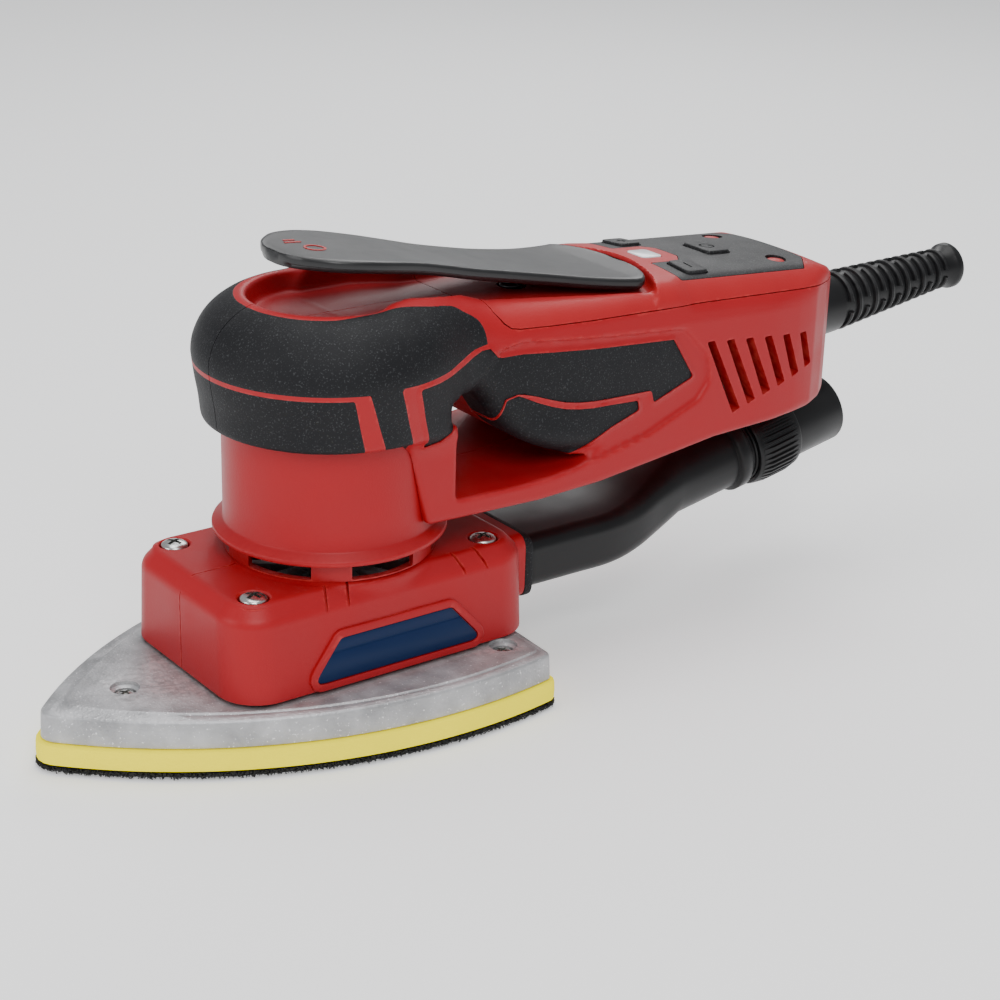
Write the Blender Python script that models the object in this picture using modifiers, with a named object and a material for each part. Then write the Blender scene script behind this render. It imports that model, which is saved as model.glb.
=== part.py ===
"""Orbital sander with a delta pad, modelled as an assembly of separate pieces.

Frame: the origin is on the motor shaft's axis, at the hook facing's lower face. +X runs towards the
cable, +Y to the side away from the name plate, and +Z up. Sizes below are in millimetres, and the
helpers turn them into metres.
"""

import math

import bmesh
import bpy
from mathutils import Matrix, Vector

MM = 0.001
GAP = 0.3  # clearance that touching pieces keep

# The pad: a delta outline whose two long sides are arcs that meet in a blunt tip.
PAD_TIP_X = -96.8
PAD_REAR_X = 50.0
PAD_CORNER = (46.7, 50.0)
PAD_SIDE_RADIUS = 156.0
PAD_TIP_HALF_WIDTH = 3.5
HOOK_OVERHANG = 1.0  # the hook facing and the foam stand out past the plate
FOAM_OVERHANG = 1.5
HOOK_TOP = 2.5
FOAM_TOP = 9.0
PLATE_TOP = 18.4
ORBIT_RADIUS = 1.5  # offset of the eccentric pin from the shaft's axis

# The shroud, a box with chamfered top edges.
SHROUD_BOTTOM = 19.6
SHROUD_SHOULDER = 44.0
SHROUD_TOP = 48.6
SHROUD_FRONT_X = -51.6
SHROUD_REAR_X = 53.2
SHROUD_FOOT_HALF_WIDTH = 34.9
SHROUD_SHOULDER_HALF_WIDTH = 33.1
SHROUD_CHAMFER = 4.2
SHROUD_CORNER_RADIUS = 13.0
SHROUD_WALL = 2.5
SCREW_X = 40.4
SCREW_Y = 23.2

# The motor's column.
COLUMN_RADIUS = 32.1
COLUMN_WALL = 2.2
COLUMN_TOP = 99.0
FLANGE_RADIUS = 35.4
FLANGE_BOTTOM = 54.9
COLUMN_FOOT = 58.2
SHAFT_RADIUS = 5.0

# The head: radius of its outer surface against height.
HEAD_PROFILE = [(38.0, 93.0), (38.6, 97.7), (40.3, 109.5), (40.0, 113.5), (37.4, 119.5), (32.6, 124.3),
                (27.6, 126.7), (25.4, 127.0)]
HEAD_BOTTOM = 90.2
RUBBER = 2.2
DISH_RADIUS = 23.0
DISH_Z = 120.6

# The tail and the rail under the finger opening.
BODY_HALF_WIDTH = 32.0
BODY_WALL = 2.4
SEAM_SLOPE = -0.045  # the cover's lower edge falls towards the cable
SEAM_Z = 115.2  # height of that edge at x = 41
PANEL_Z = 121.1  # height of the panel's surface at x = 116
PANEL_ANGLE = math.radians(4.36)

# The dust tube.
TUBE_ANGLE = math.radians(10.5)
TUBE_RADIUS = 11.7
TUBE_START = (150.0, 42.9)

# The cable boot.
BOOT_START = (184.0, 89.8)
BOOT_ANGLE = math.radians(4.2)

ROUND = 36
FINE = 24
COARSE = 12

COLLECTION = bpy.data.collections.new("orbital_sander")
MATERIALS = {}


def material(name, colour, roughness, metallic=0.0):
    """A Principled material, made once for each name."""
    if name not in MATERIALS:
        made = bpy.data.materials.new(name)
        made.use_nodes = True
        shader = made.node_tree.nodes["Principled BSDF"]
        shader.inputs["Base Color"].default_value = (*colour, 1.0)
        shader.inputs["Roughness"].default_value = roughness
        shader.inputs["Metallic"].default_value = metallic
        MATERIALS[name] = made
    return MATERIALS[name]


RED = ("red_plastic", (0.44, 0.035, 0.035), 0.45)
BLACK = ("black_plastic", (0.018, 0.018, 0.02), 0.45)
RUBBER_FINISH = ("black_rubber", (0.022, 0.022, 0.024), 0.75)
CAST = ("cast_aluminium", (0.5, 0.5, 0.5), 0.45, 0.9)
STEEL = ("steel", (0.6, 0.6, 0.6), 0.3, 1.0)
COPPER = ("copper_wire", (0.6, 0.22, 0.09), 0.4, 0.9)
FOAM = ("yellow_foam", (0.87, 0.77, 0.12), 0.8)
HOOKS = ("hook_cloth", (0.01, 0.01, 0.01), 0.95)
NAVY = ("navy_plate", (0.006, 0.02, 0.07), 0.35)
BOARD = ("circuit_board", (0.02, 0.12, 0.04), 0.5)
LENS = ("white_lens", (0.8, 0.82, 0.84), 0.3)


def scene_object(name, mesh):
    made = bpy.data.objects.new(name, mesh)
    COLLECTION.objects.link(made)
    return made


def from_bmesh(name, bm):
    bmesh.ops.recalc_face_normals(bm, faces=bm.faces)
    mesh = bpy.data.meshes.new(name)
    bm.to_mesh(mesh)
    bm.free()
    return scene_object(name, mesh)


def box(name, low, high):
    """A box between two corners."""
    bm = bmesh.new()
    bmesh.ops.create_cube(bm, size=1.0)
    for vertex in bm.verts:
        for axis in range(3):
            share = vertex.co[axis] + 0.5
            vertex.co[axis] = (low[axis] + share * (high[axis] - low[axis])) * MM
    return from_bmesh(name, bm)


def baked(obj):
    """The object's evaluated mesh as a plain mesh object of the same name, at the world's origin."""
    bpy.context.view_layer.update()
    graph = bpy.context.evaluated_depsgraph_get()
    mesh = bpy.data.meshes.new_from_object(obj.evaluated_get(graph))
    mesh.transform(obj.matrix_world)
    name = obj.name
    bpy.data.objects.remove(obj)
    bm = bmesh.new()
    bm.from_mesh(mesh)
    bmesh.ops.remove_doubles(bm, verts=bm.verts, dist=1e-6)
    bmesh.ops.recalc_face_normals(bm, faces=bm.faces)
    bm.to_mesh(mesh)
    bm.free()
    made = scene_object(name, mesh)
    return made


def turned(name, profile, steps=ROUND, centre=(0.0, 0.0)):
    """A body turned about a vertical axis. The profile's (radius, height) points run round its section."""
    mesh = bpy.data.meshes.new(name)
    closed = all(radius > 0 for radius, _ in profile)
    count = len(profile)
    edges = [(i, (i + 1) % count) for i in range(count if closed else count - 1)]
    mesh.from_pydata([(radius * MM, 0.0, height * MM) for radius, height in profile], edges, [])
    obj = scene_object(name, mesh)
    screw = obj.modifiers.new("Screw", "SCREW")
    screw.steps = screw.render_steps = steps
    screw.use_merge_vertices = True
    screw.merge_threshold = 1e-5
    obj.location = (centre[0] * MM, centre[1] * MM, 0.0)
    return baked(obj)


def cylinder(name, radius, low, high, steps=FINE, centre=(0.0, 0.0)):
    """An upright solid cylinder."""
    return turned(name, [(0, high), (radius, high), (radius, low), (0, low)], steps, centre)


def tube(name, outer, inner, low, high, steps=FINE, centre=(0.0, 0.0)):
    """An upright tube."""
    return turned(name, [(outer, high), (outer, low), (inner, low), (inner, high)], steps, centre)


def arc(centre, radius, start, end, count):
    """Points on an arc, angles in degrees."""
    angles = [math.radians(start + (end - start) * i / count) for i in range(count + 1)]
    return [(centre[0] + radius * math.cos(a), centre[1] + radius * math.sin(a)) for a in angles]


def rounded(points, radius, count=4):
    """A closed outline with each of its corners rounded."""
    outline = []
    for i, corner in enumerate(points):
        here = Vector(corner)
        before = Vector(points[i - 1]) - here
        after = Vector(points[(i + 1) % len(points)]) - here
        reach = radius if isinstance(radius, (int, float)) else radius[i]
        turn = before.angle(after)
        back = min(reach / math.tan(turn / 2), before.length * 0.45, after.length * 0.45)
        start, end = here + before.normalized() * back, here + after.normalized() * back
        for step in range(count + 1):
            t = step / count
            blend = start * (1 - t) ** 2 + here * 2 * t * (1 - t) + end * t * t
            outline.append((blend.x, blend.y))
    return outline


def prism(name, outline, low, high, plane="XY"):
    """A flat outline extruded between two levels: along Z for XY, along Y for XZ, along X for YZ."""
    curve = bpy.data.curves.new(name, "CURVE")
    curve.dimensions = "2D"
    curve.fill_mode = "BOTH"
    curve.extrude = (high - low) / 2 * MM
    spline = curve.splines.new("POLY")
    spline.points.add(len(outline) - 1)
    for point, (u, v) in zip(spline.points, outline):
        point.co = (u * MM, v * MM, 0.0, 1.0)
    spline.use_cyclic_u = True
    obj = scene_object(name, curve)
    middle = (high + low) / 2 * MM
    if plane == "XY":
        obj.location.z = middle
    elif plane == "XZ":
        obj.rotation_euler.x = math.pi / 2
        obj.location.y = middle
    else:
        obj.rotation_euler = (math.pi / 2, 0.0, math.pi / 2)
        obj.location.x = middle
    return baked(obj)


def loft(name, rings):
    """A closed skin through rings of as many points each, capped at both ends."""
    bm = bmesh.new()
    rows = [[bm.verts.new(Vector(point) * MM) for point in ring] for ring in rings]
    count = len(rows[0])
    for lower, upper in zip(rows, rows[1:]):
        for i in range(count):
            j = (i + 1) % count
            bm.faces.new((lower[i], lower[j], upper[j], upper[i]))
    bm.faces.new(rows[0][::-1])
    bm.faces.new(rows[-1])
    return from_bmesh(name, bm)


def cut(target, *cutters, operation="DIFFERENCE"):
    """The target with each cutter taken from it, joined to it or met with it."""
    for cutter in cutters:
        modifier = target.modifiers.new("Boolean", "BOOLEAN")
        modifier.operation = operation
        modifier.object = cutter
        target = baked(target)
        bpy.data.objects.remove(cutter)
    return target


def join(target, *others):
    return cut(target, *others, operation="UNION")


def meet(target, other):
    return cut(target, other, operation="INTERSECT")


def tilt(obj, angle, pivot, axis="Y"):
    """Turns a finished mesh about a line through the pivot (x, y, z), parallel to a world axis."""
    bm = bmesh.new()
    bm.from_mesh(obj.data)
    centre = Vector(pivot) * MM
    bmesh.ops.rotate(bm, verts=bm.verts, cent=centre, matrix=Matrix.Rotation(angle, 3, axis))
    bm.to_mesh(obj.data)
    bm.free()
    return obj


def dress(obj, finish):
    """Gives a finished piece its material and its shading."""
    obj.data.materials.clear()
    obj.data.materials.append(material(*finish))
    obj.data.shade_smooth()
    obj.data.set_sharp_from_angle(angle=math.radians(35))
    return obj


def offset(outline, distance):
    """A smooth closed outline moved inwards along its normals (outwards when negative)."""
    moved = []
    area = sum(a[0] * b[1] - b[0] * a[1] for a, b in zip(outline, outline[1:] + outline[:1]))
    side = math.copysign(1.0, area)
    for i, point in enumerate(outline):
        along = Vector(outline[(i + 1) % len(outline)]) - Vector(outline[i - 1])
        normal = Vector((-along.y, along.x)).normalized() * side
        moved.append((point[0] + normal.x * distance, point[1] + normal.y * distance))
    return moved


def mirrored(points):
    return [(u, -v) for u, v in reversed(points)]


def rectangle(low_u, low_v, high_u, high_v):
    return [(low_u, low_v), (high_u, low_v), (high_u, high_v), (low_u, high_v)]


# ---------------------------------------------------------------- pad


def pad_outline():
    """Blunt tip, arched side, rounded corner and slightly bowed rear edge, then their mirror image."""
    start = Vector((PAD_TIP_X + 1.2, PAD_TIP_HALF_WIDTH))
    end = Vector(PAD_CORNER)
    chord = end - start
    half = chord.length / 2
    sideways = Vector((chord.y, -chord.x)).normalized()
    centre = (start + end) / 2 + sideways * math.sqrt(PAD_SIDE_RADIUS ** 2 - half ** 2)
    first = math.degrees(math.atan2(start.y - centre.y, start.x - centre.x))
    last = math.degrees(math.atan2(end.y - centre.y, end.x - centre.x))
    side = arc(centre, PAD_SIDE_RADIUS, first, last, 14)
    rear = [(PAD_CORNER[0] + 1.8, PAD_CORNER[1] - 2.0), (PAD_REAR_X - 0.7, 33.0), (PAD_REAR_X - 0.2, 17.0)]
    upper = [(PAD_TIP_X + 0.3, 1.8)] + side + rear
    return [(PAD_TIP_X, 0.0)] + upper + [(PAD_REAR_X, 0.0)] + mirrored(upper)


PAD_SCREWS = {"pad_screw_tip": (-70.3, 0.0), "pad_screw_left": (38.5, -37.5), "pad_screw_right": (38.5, 37.5)}


def build_pad():
    outline = pad_outline()
    dress(prism("hook_facing", offset(outline, -HOOK_OVERHANG), 0.0, HOOK_TOP), HOOKS)
    dress(prism("foam_pad", offset(outline, -FOAM_OVERHANG), HOOK_TOP + GAP, FOAM_TOP), FOAM)
    plate = prism("pad_plate", outline, FOAM_TOP + GAP, PLATE_TOP)
    bore = cylinder("bore", 16.3, FOAM_TOP - 2, PLATE_TOP + 2, centre=(ORBIT_RADIUS, 0))
    recesses = [cylinder("recess", 3.4, 13.0, PLATE_TOP + 2, COARSE, spot) for spot in PAD_SCREWS.values()]
    dress(cut(plate, bore, *recesses), CAST)
    for name, spot in PAD_SCREWS.items():
        dress(cylinder(name, 3.0, 13.0 + GAP, 17.0, COARSE, spot), STEEL)
    bearing = tube("orbit_bearing", 16.0, 7.3, FOAM_TOP + 0.6, 18.0, centre=(ORBIT_RADIUS, 0))
    dress(bearing, STEEL)


# ---------------------------------------------------------------- motor


def build_motor():
    pin = cylinder("pin", 7.0, FOAM_TOP + 1.0, 23.0, centre=(ORBIT_RADIUS, 0))
    collar = cylinder("collar", 9.5, 20.0, 28.0)
    shaft = cylinder("motor_shaft", SHAFT_RADIUS, 26.0, 100.0)
    dress(join(shaft, collar, pin), STEEL)

    blades = 12
    outline = []
    for i in range(blades):
        middle = 360.0 * i / blades
        outline += arc((0, 0), 11.0, middle - 11, middle - 9, 1)
        outline += arc((0, 0), 27.0, middle - 2.5, middle + 2.5, 1)
        outline += arc((0, 0), 11.0, middle + 9, middle + 11, 1)
    disc = cylinder("disc", 27.8, 29.0, 31.4)
    weight = prism("weight", arc((0, 0), 26.0, 125, 235, 12) + arc((0, 0), 12.0, 235, 125, 8), 22.8, 30.0)
    bore = cylinder("bore", SHAFT_RADIUS + GAP, 20.0, 50.0, COARSE)
    dress(cut(join(prism("fan", outline, 30.0, 42.0), disc, weight), bore), CAST)

    dress(tube("rotor", 17.2, SHAFT_RADIUS + GAP, 66.0, 88.0), STEEL)
    dress(tube("stator_core", 29.5, 18.2, 68.0, 86.0), STEEL)
    dress(tube("winding_lower", 27.0, 19.2, 60.0, 67.7), COPPER)
    dress(tube("winding_upper", 27.0, 19.2, 86.3, 93.0), COPPER)
    dress(tube("lower_bearing", 13.0, SHAFT_RADIUS + GAP, 47.5, 54.5), STEEL)
    dress(tube("upper_bearing", 11.0, SHAFT_RADIUS + GAP, 91.5, 98.0), STEEL)
    lower = [(29.6, 59.0), (29.6, 55.5), (16.0, 55.5), (16.0, 46.5), (13.3, 46.5), (13.3, 55.0), (8.0, 55.0),
             (8.0, 59.0)]
    dress(turned("lower_end_bell", lower), CAST)
    upper = [(29.6, 98.5), (29.6, 94.5), (14.0, 94.5), (14.0, 91.0), (11.3, 91.0), (11.3, 98.5)]
    dress(turned("upper_end_bell", upper), CAST)


def build_motor_housing():
    """The red column: a ring of air windows, a sloped flange and the cylinder that the head sits on."""
    inner = COLUMN_RADIUS - COLUMN_WALL
    foot = SHROUD_TOP + GAP
    neck = COLUMN_RADIUS - 0.3
    profile = [(COLUMN_RADIUS, COLUMN_TOP), (COLUMN_RADIUS, COLUMN_FOOT),
               (FLANGE_RADIUS, FLANGE_BOTTOM + 1.4), (FLANGE_RADIUS, FLANGE_BOTTOM),
               (neck, FLANGE_BOTTOM), (neck, foot), (inner, foot),
               (inner, COLUMN_TOP)]
    column = turned("motor_housing", profile)
    windows = 7
    cutters = []
    for i in range(windows):
        window = box("window", (26.0, -8.2, foot + 1.2), (40.0, 8.2, FLANGE_BOTTOM - 0.2))
        cutters.append(tilt(window, math.radians(218.0 + 360.0 * i / windows), (0, 0, 0), "Z"))
    dress(cut(column, *cutters), RED)


# ---------------------------------------------------------------- shroud


def shroud_ring(inset, half_width, height):
    low = SHROUD_FRONT_X + inset
    high = SHROUD_REAR_X - inset
    side = half_width - inset
    radius = max(SHROUD_CORNER_RADIUS - inset, 2.0)
    return [(x, y, height) for x, y in rounded(rectangle(low, -side, high, side), radius, 5)]


def shroud_corners():
    return [(x, y) for x in (-SCREW_X, SCREW_X) for y in (-SCREW_Y, SCREW_Y)]


def build_shroud():
    foot, shoulder = SHROUD_FOOT_HALF_WIDTH, SHROUD_SHOULDER_HALF_WIDTH
    wall, chamfer = SHROUD_WALL, SHROUD_CHAMFER
    shell = loft("shroud", [shroud_ring(0, foot, SHROUD_BOTTOM), shroud_ring(0, shoulder, SHROUD_SHOULDER),
                            shroud_ring(chamfer, shoulder, SHROUD_TOP)])
    hollow = loft("hollow", [shroud_ring(wall, foot, SHROUD_BOTTOM - 1),
                             shroud_ring(wall, shoulder, SHROUD_SHOULDER - 1),
                             shroud_ring(wall + chamfer, shoulder, SHROUD_TOP - wall)])
    spigot = prism("spigot", rounded(rectangle(-22.6, 23.4, 22.6, 44.6), 5), 50.0, 57.6, "YZ")
    shell = join(shell, spigot)
    shell = cut(shell, hollow)
    bosses = [cylinder("boss", 6.6, 38.0, SHROUD_TOP - 1.0, COARSE, spot) for spot in shroud_corners()]
    shell = join(shell, *bosses)
    duct_hole = prism("hole", rounded(rectangle(-19.0, 26.4, 19.0, 41.2), 3), 40.0, 60.0, "YZ")
    column_hole = cylinder("hole", 28.8, 40.0, 52.0, ROUND)
    cutters = [duct_hole, column_hole]
    for spot in shroud_corners():
        cutters.append(cylinder("counterbore", 4.65, 46.4, 52.0, COARSE, spot))
        cutters.append(cylinder("hole", 2.3, 34.0, 50.0, 12, spot))
    dress(cut(shell, *cutters), RED)
    for i, spot in enumerate(shroud_corners(), 1):
        head = [(0, 48.6), (2.6, 48.4), (4.1, 47.4), (4.1, 46.7), (2.0, 46.7), (2.0, 28.0), (0, 28.0)]
        dress(turned(f"shroud_screw_{i}", head, COARSE, spot), STEEL)
        leg = tube(f"support_leg_{i}", 6.0, 2.4, PLATE_TOP + GAP, 37.6, COARSE, spot)
        dress(leg, RUBBER_FINISH)
    draft = math.atan((foot - shoulder) / (SHROUD_SHOULDER - SHROUD_BOTTOM))
    plate_outline = rounded([(-28.0, 21.8), (32.0, 21.8), (21.0, 34.2), (-18.0, 34.2)], 2)
    plate = prism("name_plate", plate_outline, -foot - 0.6, -foot - GAP, "XZ")
    dress(tilt(plate, -draft, (0, -foot, SHROUD_BOTTOM), "X"), NAVY)


# ---------------------------------------------------------------- dust outlet


def duct_ring(x, half_width, low, high, radius, inset=0.0):
    """A rounded rectangle across the duct at x, always with the same number of points."""
    half = half_width - inset
    bottom, top = low + inset, high - inset
    reach = min(max(radius - inset, 1.0), half, (top - bottom) / 2)
    ring = []
    corners = [(half - reach, top - reach, 0), (-half + reach, top - reach, 90),
               (-half + reach, bottom + reach, 180), (half - reach, bottom + reach, 270)]
    for y, z, start in corners:
        ring += [(x, u, v) for u, v in arc((y, z), reach, start + 4, start + 86, 5)]
    return ring


def tube_point(along):
    return (TUBE_START[0] + along * math.cos(TUBE_ANGLE), TUBE_START[1] + along * math.sin(TUBE_ANGLE))


def tube_ring(along, radius):
    """A circle square to the outlet's axis, with as many points as duct_ring has."""
    x, z = tube_point(along)
    ring = []
    for start in (0, 90, 180, 270):
        for step in range(6):
            angle = math.radians(start + 4 + 82 * step / 5)
            up = radius * math.sin(angle)
            across = radius * math.cos(angle)
            ring.append((x - up * math.sin(TUBE_ANGLE), across, z + up * math.cos(TUBE_ANGLE)))
    return ring


DUCT_SECTIONS = [(61.2, 20.3, 24.0, 41.8, 5.0), (96.0, 20.3, 24.0, 41.8, 5.0), (108.0, 18.6, 24.8, 43.6, 6.5),
                 (120.0, 15.6, 26.8, 47.4, 8.0), (132.0, 13.2, 29.4, 51.4, 10.5)]


def duct_body(name, inset):
    """The duct's outer body, or the air's path when it is inset."""
    stations = list(DUCT_SECTIONS)
    if inset:
        stations[0] = (stations[0][0] - 2.0, *stations[0][1:])
    rings = [duct_ring(*station, inset=inset) for station in stations]
    rings.append(tube_ring(-6.0, TUBE_RADIUS - inset))
    if inset:
        return loft(name, rings + [tube_ring(16.0, TUBE_RADIUS - inset)])
    return loft(name, rings + [tube_ring(7.0, TUBE_RADIUS), tube_ring(7.2, 13.3), tube_ring(11.8, 13.3),
                               tube_ring(12.0, TUBE_RADIUS), tube_ring(14.0, TUBE_RADIUS)])


def build_dust_outlet():
    seal = prism("duct_seal", rounded(rectangle(-22.4, 22.8, 22.4, 43.6), 5), 57.9, 60.9, "YZ")
    path = prism("hole", rounded(rectangle(-19.0, 26.4, 19.0, 40.0), 3), 50.0, 64.0, "YZ")
    dress(cut(seal, path), RUBBER_FINISH)
    dress(cut(duct_body("dust_duct", 0.0), duct_body("path", 2.0)), BLACK)
    outlet = loft("hose_outlet", [tube_ring(14.4, 12.2), tube_ring(55.5, 12.2)])
    dress(cut(outlet, loft("bore", [tube_ring(10.0, 10.0), tube_ring(64.0, 10.0)])), BLACK)
    collar = loft("hose_collar", [tube_ring(15.0, 13.9), tube_ring(16.0, 14.4), tube_ring(33.0, 14.4),
                                  tube_ring(34.0, 13.9)])
    dress(cut(collar, loft("bore", [tube_ring(10.0, 12.5), tube_ring(40.0, 12.5)])), BLACK)


# ---------------------------------------------------------------- head, neck, tail and rail


def seam_z(x):
    """Height of the cover's lower edge at x."""
    return SEAM_Z + SEAM_SLOPE * (x - 41.0)


def panel_z(x):
    """Height of the tail's top surface at x."""
    return PANEL_Z - (x - 116.0) * math.tan(PANEL_ANGLE)


TAIL_BOTTOM = [(183.0, 68.6), (170.0, 68.4), (126.0, 66.8), (100.0, 63.6), (79.0, 61.2), (55.0, 60.2),
               (14.0, 61.2)]
TAIL_REAR = [(186.5, 107.0), (190.6, 101.0), (192.0, 94.0), (190.4, 86.0), (186.5, 76.0)]
OPENING = [(24.0, 67.3), (24.0, 95.6), (35.6, 96.0), (38.8, 92.4), (42.2, 87.2), (46.6, 82.6), (51.5, 78.9),
           (57.0, 75.8), (63.0, 73.2), (69.5, 71.3), (74.0, 70.4), (70.0, 68.4), (60.0, 67.2), (48.0, 66.7)]
SIDE_GRIP = [(23.0, 97.0), (23.0, 108.5), (34.0, 110.3), (49.0, 108.4), (106.4, 102.8), (115.4, 89.0),
             (99.4, 83.4), (98.2, 87.6), (80.2, 88.1), (70.0, 88.9), (60.0, 91.4), (50.0, 96.0)]
BELLY_GRIP = [(43.5, 94.0), (48.6, 94.2), (60.0, 89.2), (70.0, 86.7), (80.2, 86.0), (93.0, 85.3),
              (93.8, 81.8), (84.0, 77.2), (74.5, 75.0), (65.0, 76.4), (57.0, 80.2), (50.0, 85.4)]
GRIP_DEPTH = 2.2


def head_shell_profile():
    """The head's red core: it lies one rubber thickness under the head's outer surface."""
    core = [(radius - RUBBER - GAP, height) for radius, height in HEAD_PROFILE[:5]]
    rim = [(30.6, 122.9), (26.8, 125.0), (26.4, 126.5), (25.4, 127.0)]
    dish = [(DISH_RADIUS + 0.9, 126.6), (DISH_RADIUS, 122.0), (DISH_RADIUS - 2, DISH_Z), (0, DISH_Z)]
    outer = [(0, HEAD_BOTTOM), (35.3, HEAD_BOTTOM), *core, *rim, *dish]
    return outer[::-1]


def tail_plan(inset):
    """The body's outline from above: straight sides, and a rear end with wide round corners."""
    side = BODY_HALF_WIDTH + 2.0 - inset
    near = [(0.0, side), (148.0, side), (160.0, 31.6 - inset), (169.0, 29.4 - inset), (177.0, 25.4 - inset),
            (183.0, 21.0 - inset), (188.0 - inset, 12.0), (190.4 - inset, 4.0)]
    return [(-60.0, side), *near, *mirrored(near), (-60.0, -side)]


def build_shells():
    """The two clam-shell halves, as one hollow body that the parting plane splits."""
    top = [(6.0, 90.4), (6.0, 119.4), (41.0, 119.4), (46.0, seam_z(46)), (184.0, seam_z(184))]
    tail = prism("tail", top + TAIL_REAR + TAIL_BOTTOM, -BODY_HALF_WIDTH, BODY_HALF_WIDTH, "XZ")
    tail = meet(tail, prism("plan", tail_plan(0.0), 40.0, 140.0))
    head = turned("head", head_shell_profile())
    opening = prism("opening", OPENING, -40, 40, "XZ")
    strip_top = box("strip_top", (-1.0, -40.0, HEAD_BOTTOM - 0.2), (23.0, 40.0, 130.0))
    body = join(cut(tail, opening, strip_top), head)

    wall = BODY_WALL
    inner = BODY_HALF_WIDTH - wall
    column = cylinder("column", COLUMN_RADIUS + GAP, 40.0, 99.3, ROUND)
    head_room = turned("room", [(0, 117.6), (24, 117.4), (31.5, 114), (34.4, 108), (33.6, 98), (33.0, 93),
                                (0, 93)])
    tail_room = prism("room", [(86, 77.5), (126, 70), (180, 71), (184.4, 80), (188, 88), (189.4, 94),
                               (188, 100), (184.6, 105.5), (184.6, 125), (86, 125)], -inner, inner, "XZ")
    tail_room = meet(tail_room, prism("plan", tail_plan(BODY_WALL), 40.0, 140.0))
    neck_room = prism("room", [(20, 99.5), (46, 99.5), (60, 93), (90, 90), (90, 125), (48, 125), (48, 116.5),
                               (20, 116.5)], -inner + GRIP_DEPTH, inner - GRIP_DEPTH, "XZ")
    cutters = [column, head_room, tail_room, neck_room]
    for side in (-1, 1):
        skin = sorted((side * (BODY_HALF_WIDTH - GRIP_DEPTH - GAP), side * (BODY_HALF_WIDTH + 4)))
        cutters.append(prism("recess", offset(SIDE_GRIP, -0.6), *skin, "XZ"))
        cutters.append(prism("recess", offset(BELLY_GRIP, -0.6), *skin, "XZ"))
    side_vents = [vent_outline(i) for i in range(VENTS)]
    cutters += [prism("vent", outline, -40, 40, "XZ") for outline in side_vents]
    boot_hole = cylinder("boot_hole", 11.5, 170.0, 200.0)
    tilt(boot_hole, math.pi / 2 - BOOT_ANGLE, (0, 0, 0), "Y")
    boot_hole.location = (0, 0, (BOOT_START[1] - BOOT_START[0] * math.tan(BOOT_ANGLE)) * MM)
    cutters.append(baked(boot_hole))
    for x, z in HOUSING_SCREWS:
        cutters.append(screw_cutter(x, z))
    body = cut(body, *cutters)
    for name, low, high in (("body_left", -GAP / 2, 60.0), ("body_right", -60.0, GAP / 2)):
        other = box("other", (-60.0, low, 20.0), (230.0, high, 140.0))
        half = scene_object(name, body.data.copy())
        dress(cut(half, other), RED)
    bpy.data.objects.remove(body)


VENTS = 6


def vent_outline(i):
    """One slanted slot: the row's tops follow the tail, and the slots grow shorter towards the cable."""
    share = i / (VENTS - 1)
    top_x, top_z = 119.6 + 41.0 * share, 99.8 - 4.0 * share
    low_x, low_z = 132.4 + 32.3 * share, 73.8 + 9.2 * share
    width = 3.2
    return [(top_x, top_z), (top_x + width, top_z), (low_x + width, low_z + 1.2), (low_x, low_z)]


HOUSING_SCREWS = [(76.0, 66.0), (106.0, 108.0), (150.0, 72.4), (158.0, 104.4)]


def screw_cutter(x, z):
    """A counterbored hole for a housing screw, driven from the far side."""
    bore = turned("bore", [(0, 40), (3.4, 40), (3.4, 27.0), (1.6, 27.0), (1.6, -20), (0, -20)], COARSE)
    return place_across(bore, x, z)


def place_across(obj, x, z):
    """Lays an upright turned piece along +Y at x and z."""
    tilt(obj, -math.pi / 2, (0, 0, 0), "X")
    obj.location = (x * MM, 0, z * MM)
    return baked(obj)


def build_housing_screws():
    for i, (x, z) in enumerate(HOUSING_SCREWS, 1):
        profile = [(0, 30.4), (2.9, 30.0), (2.9, 27.3), (1.3, 27.3), (1.3, -14), (0, -14)]
        dress(place_across(turned(f"housing_screw_{i}", profile, COARSE), x, z), STEEL)


def build_head_grips():
    """Rubber on the head: an upper and a lower band on each half, with the red line between them."""
    outer = [(38.0, 90.6), *HEAD_PROFILE]
    line = 108.2
    for side, name in ((-1, "left"), (1, "right")):
        for band, low, high in (("upper", line + 0.6, 127.0), ("lower", 90.6, line - 0.6)):
            rows = [(r, z) for r, z in outer if low < z < high]
            rows = [(radius_at(outer, low), low)] + rows + [(radius_at(outer, high), high)]
            inner = [(r - RUBBER, z) for r, z in rows]
            if band == "upper":
                rows = [row for row in rows if row[0] > 29.6] + [(29.0, 126.0)]
                inner = [row for row in inner if row[1] < 121] + [(31.0, 123.3)]
            ring = turned(f"grip_{band}_{name}", rows[::-1] + inner)
            near, far = sorted((side * GAP / 2, side * 60.0))
            keep = box("keep", (-60.0, near, 80.0), (22.6, far, 140.0))
            dress(meet(ring, keep), RUBBER_FINISH)


def radius_at(profile, height):
    for (r0, z0), (r1, z1) in zip(profile, profile[1:]):
        if z0 <= height <= z1:
            return r0 + (r1 - r0) * (height - z0) / (z1 - z0)
    return profile[-1][0]


def build_side_grips():
    outer, inner = BODY_HALF_WIDTH, BODY_HALF_WIDTH - GRIP_DEPTH
    for side, name in ((-1, "left"), (1, "right")):
        skin = sorted((side * inner, side * outer))
        dress(prism(f"side_grip_{name}", SIDE_GRIP, *skin, "XZ"), RUBBER_FINISH)
        dress(prism(f"belly_grip_{name}", BELLY_GRIP, *skin, "XZ"), RUBBER_FINISH)


# ---------------------------------------------------------------- cover and panel


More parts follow.
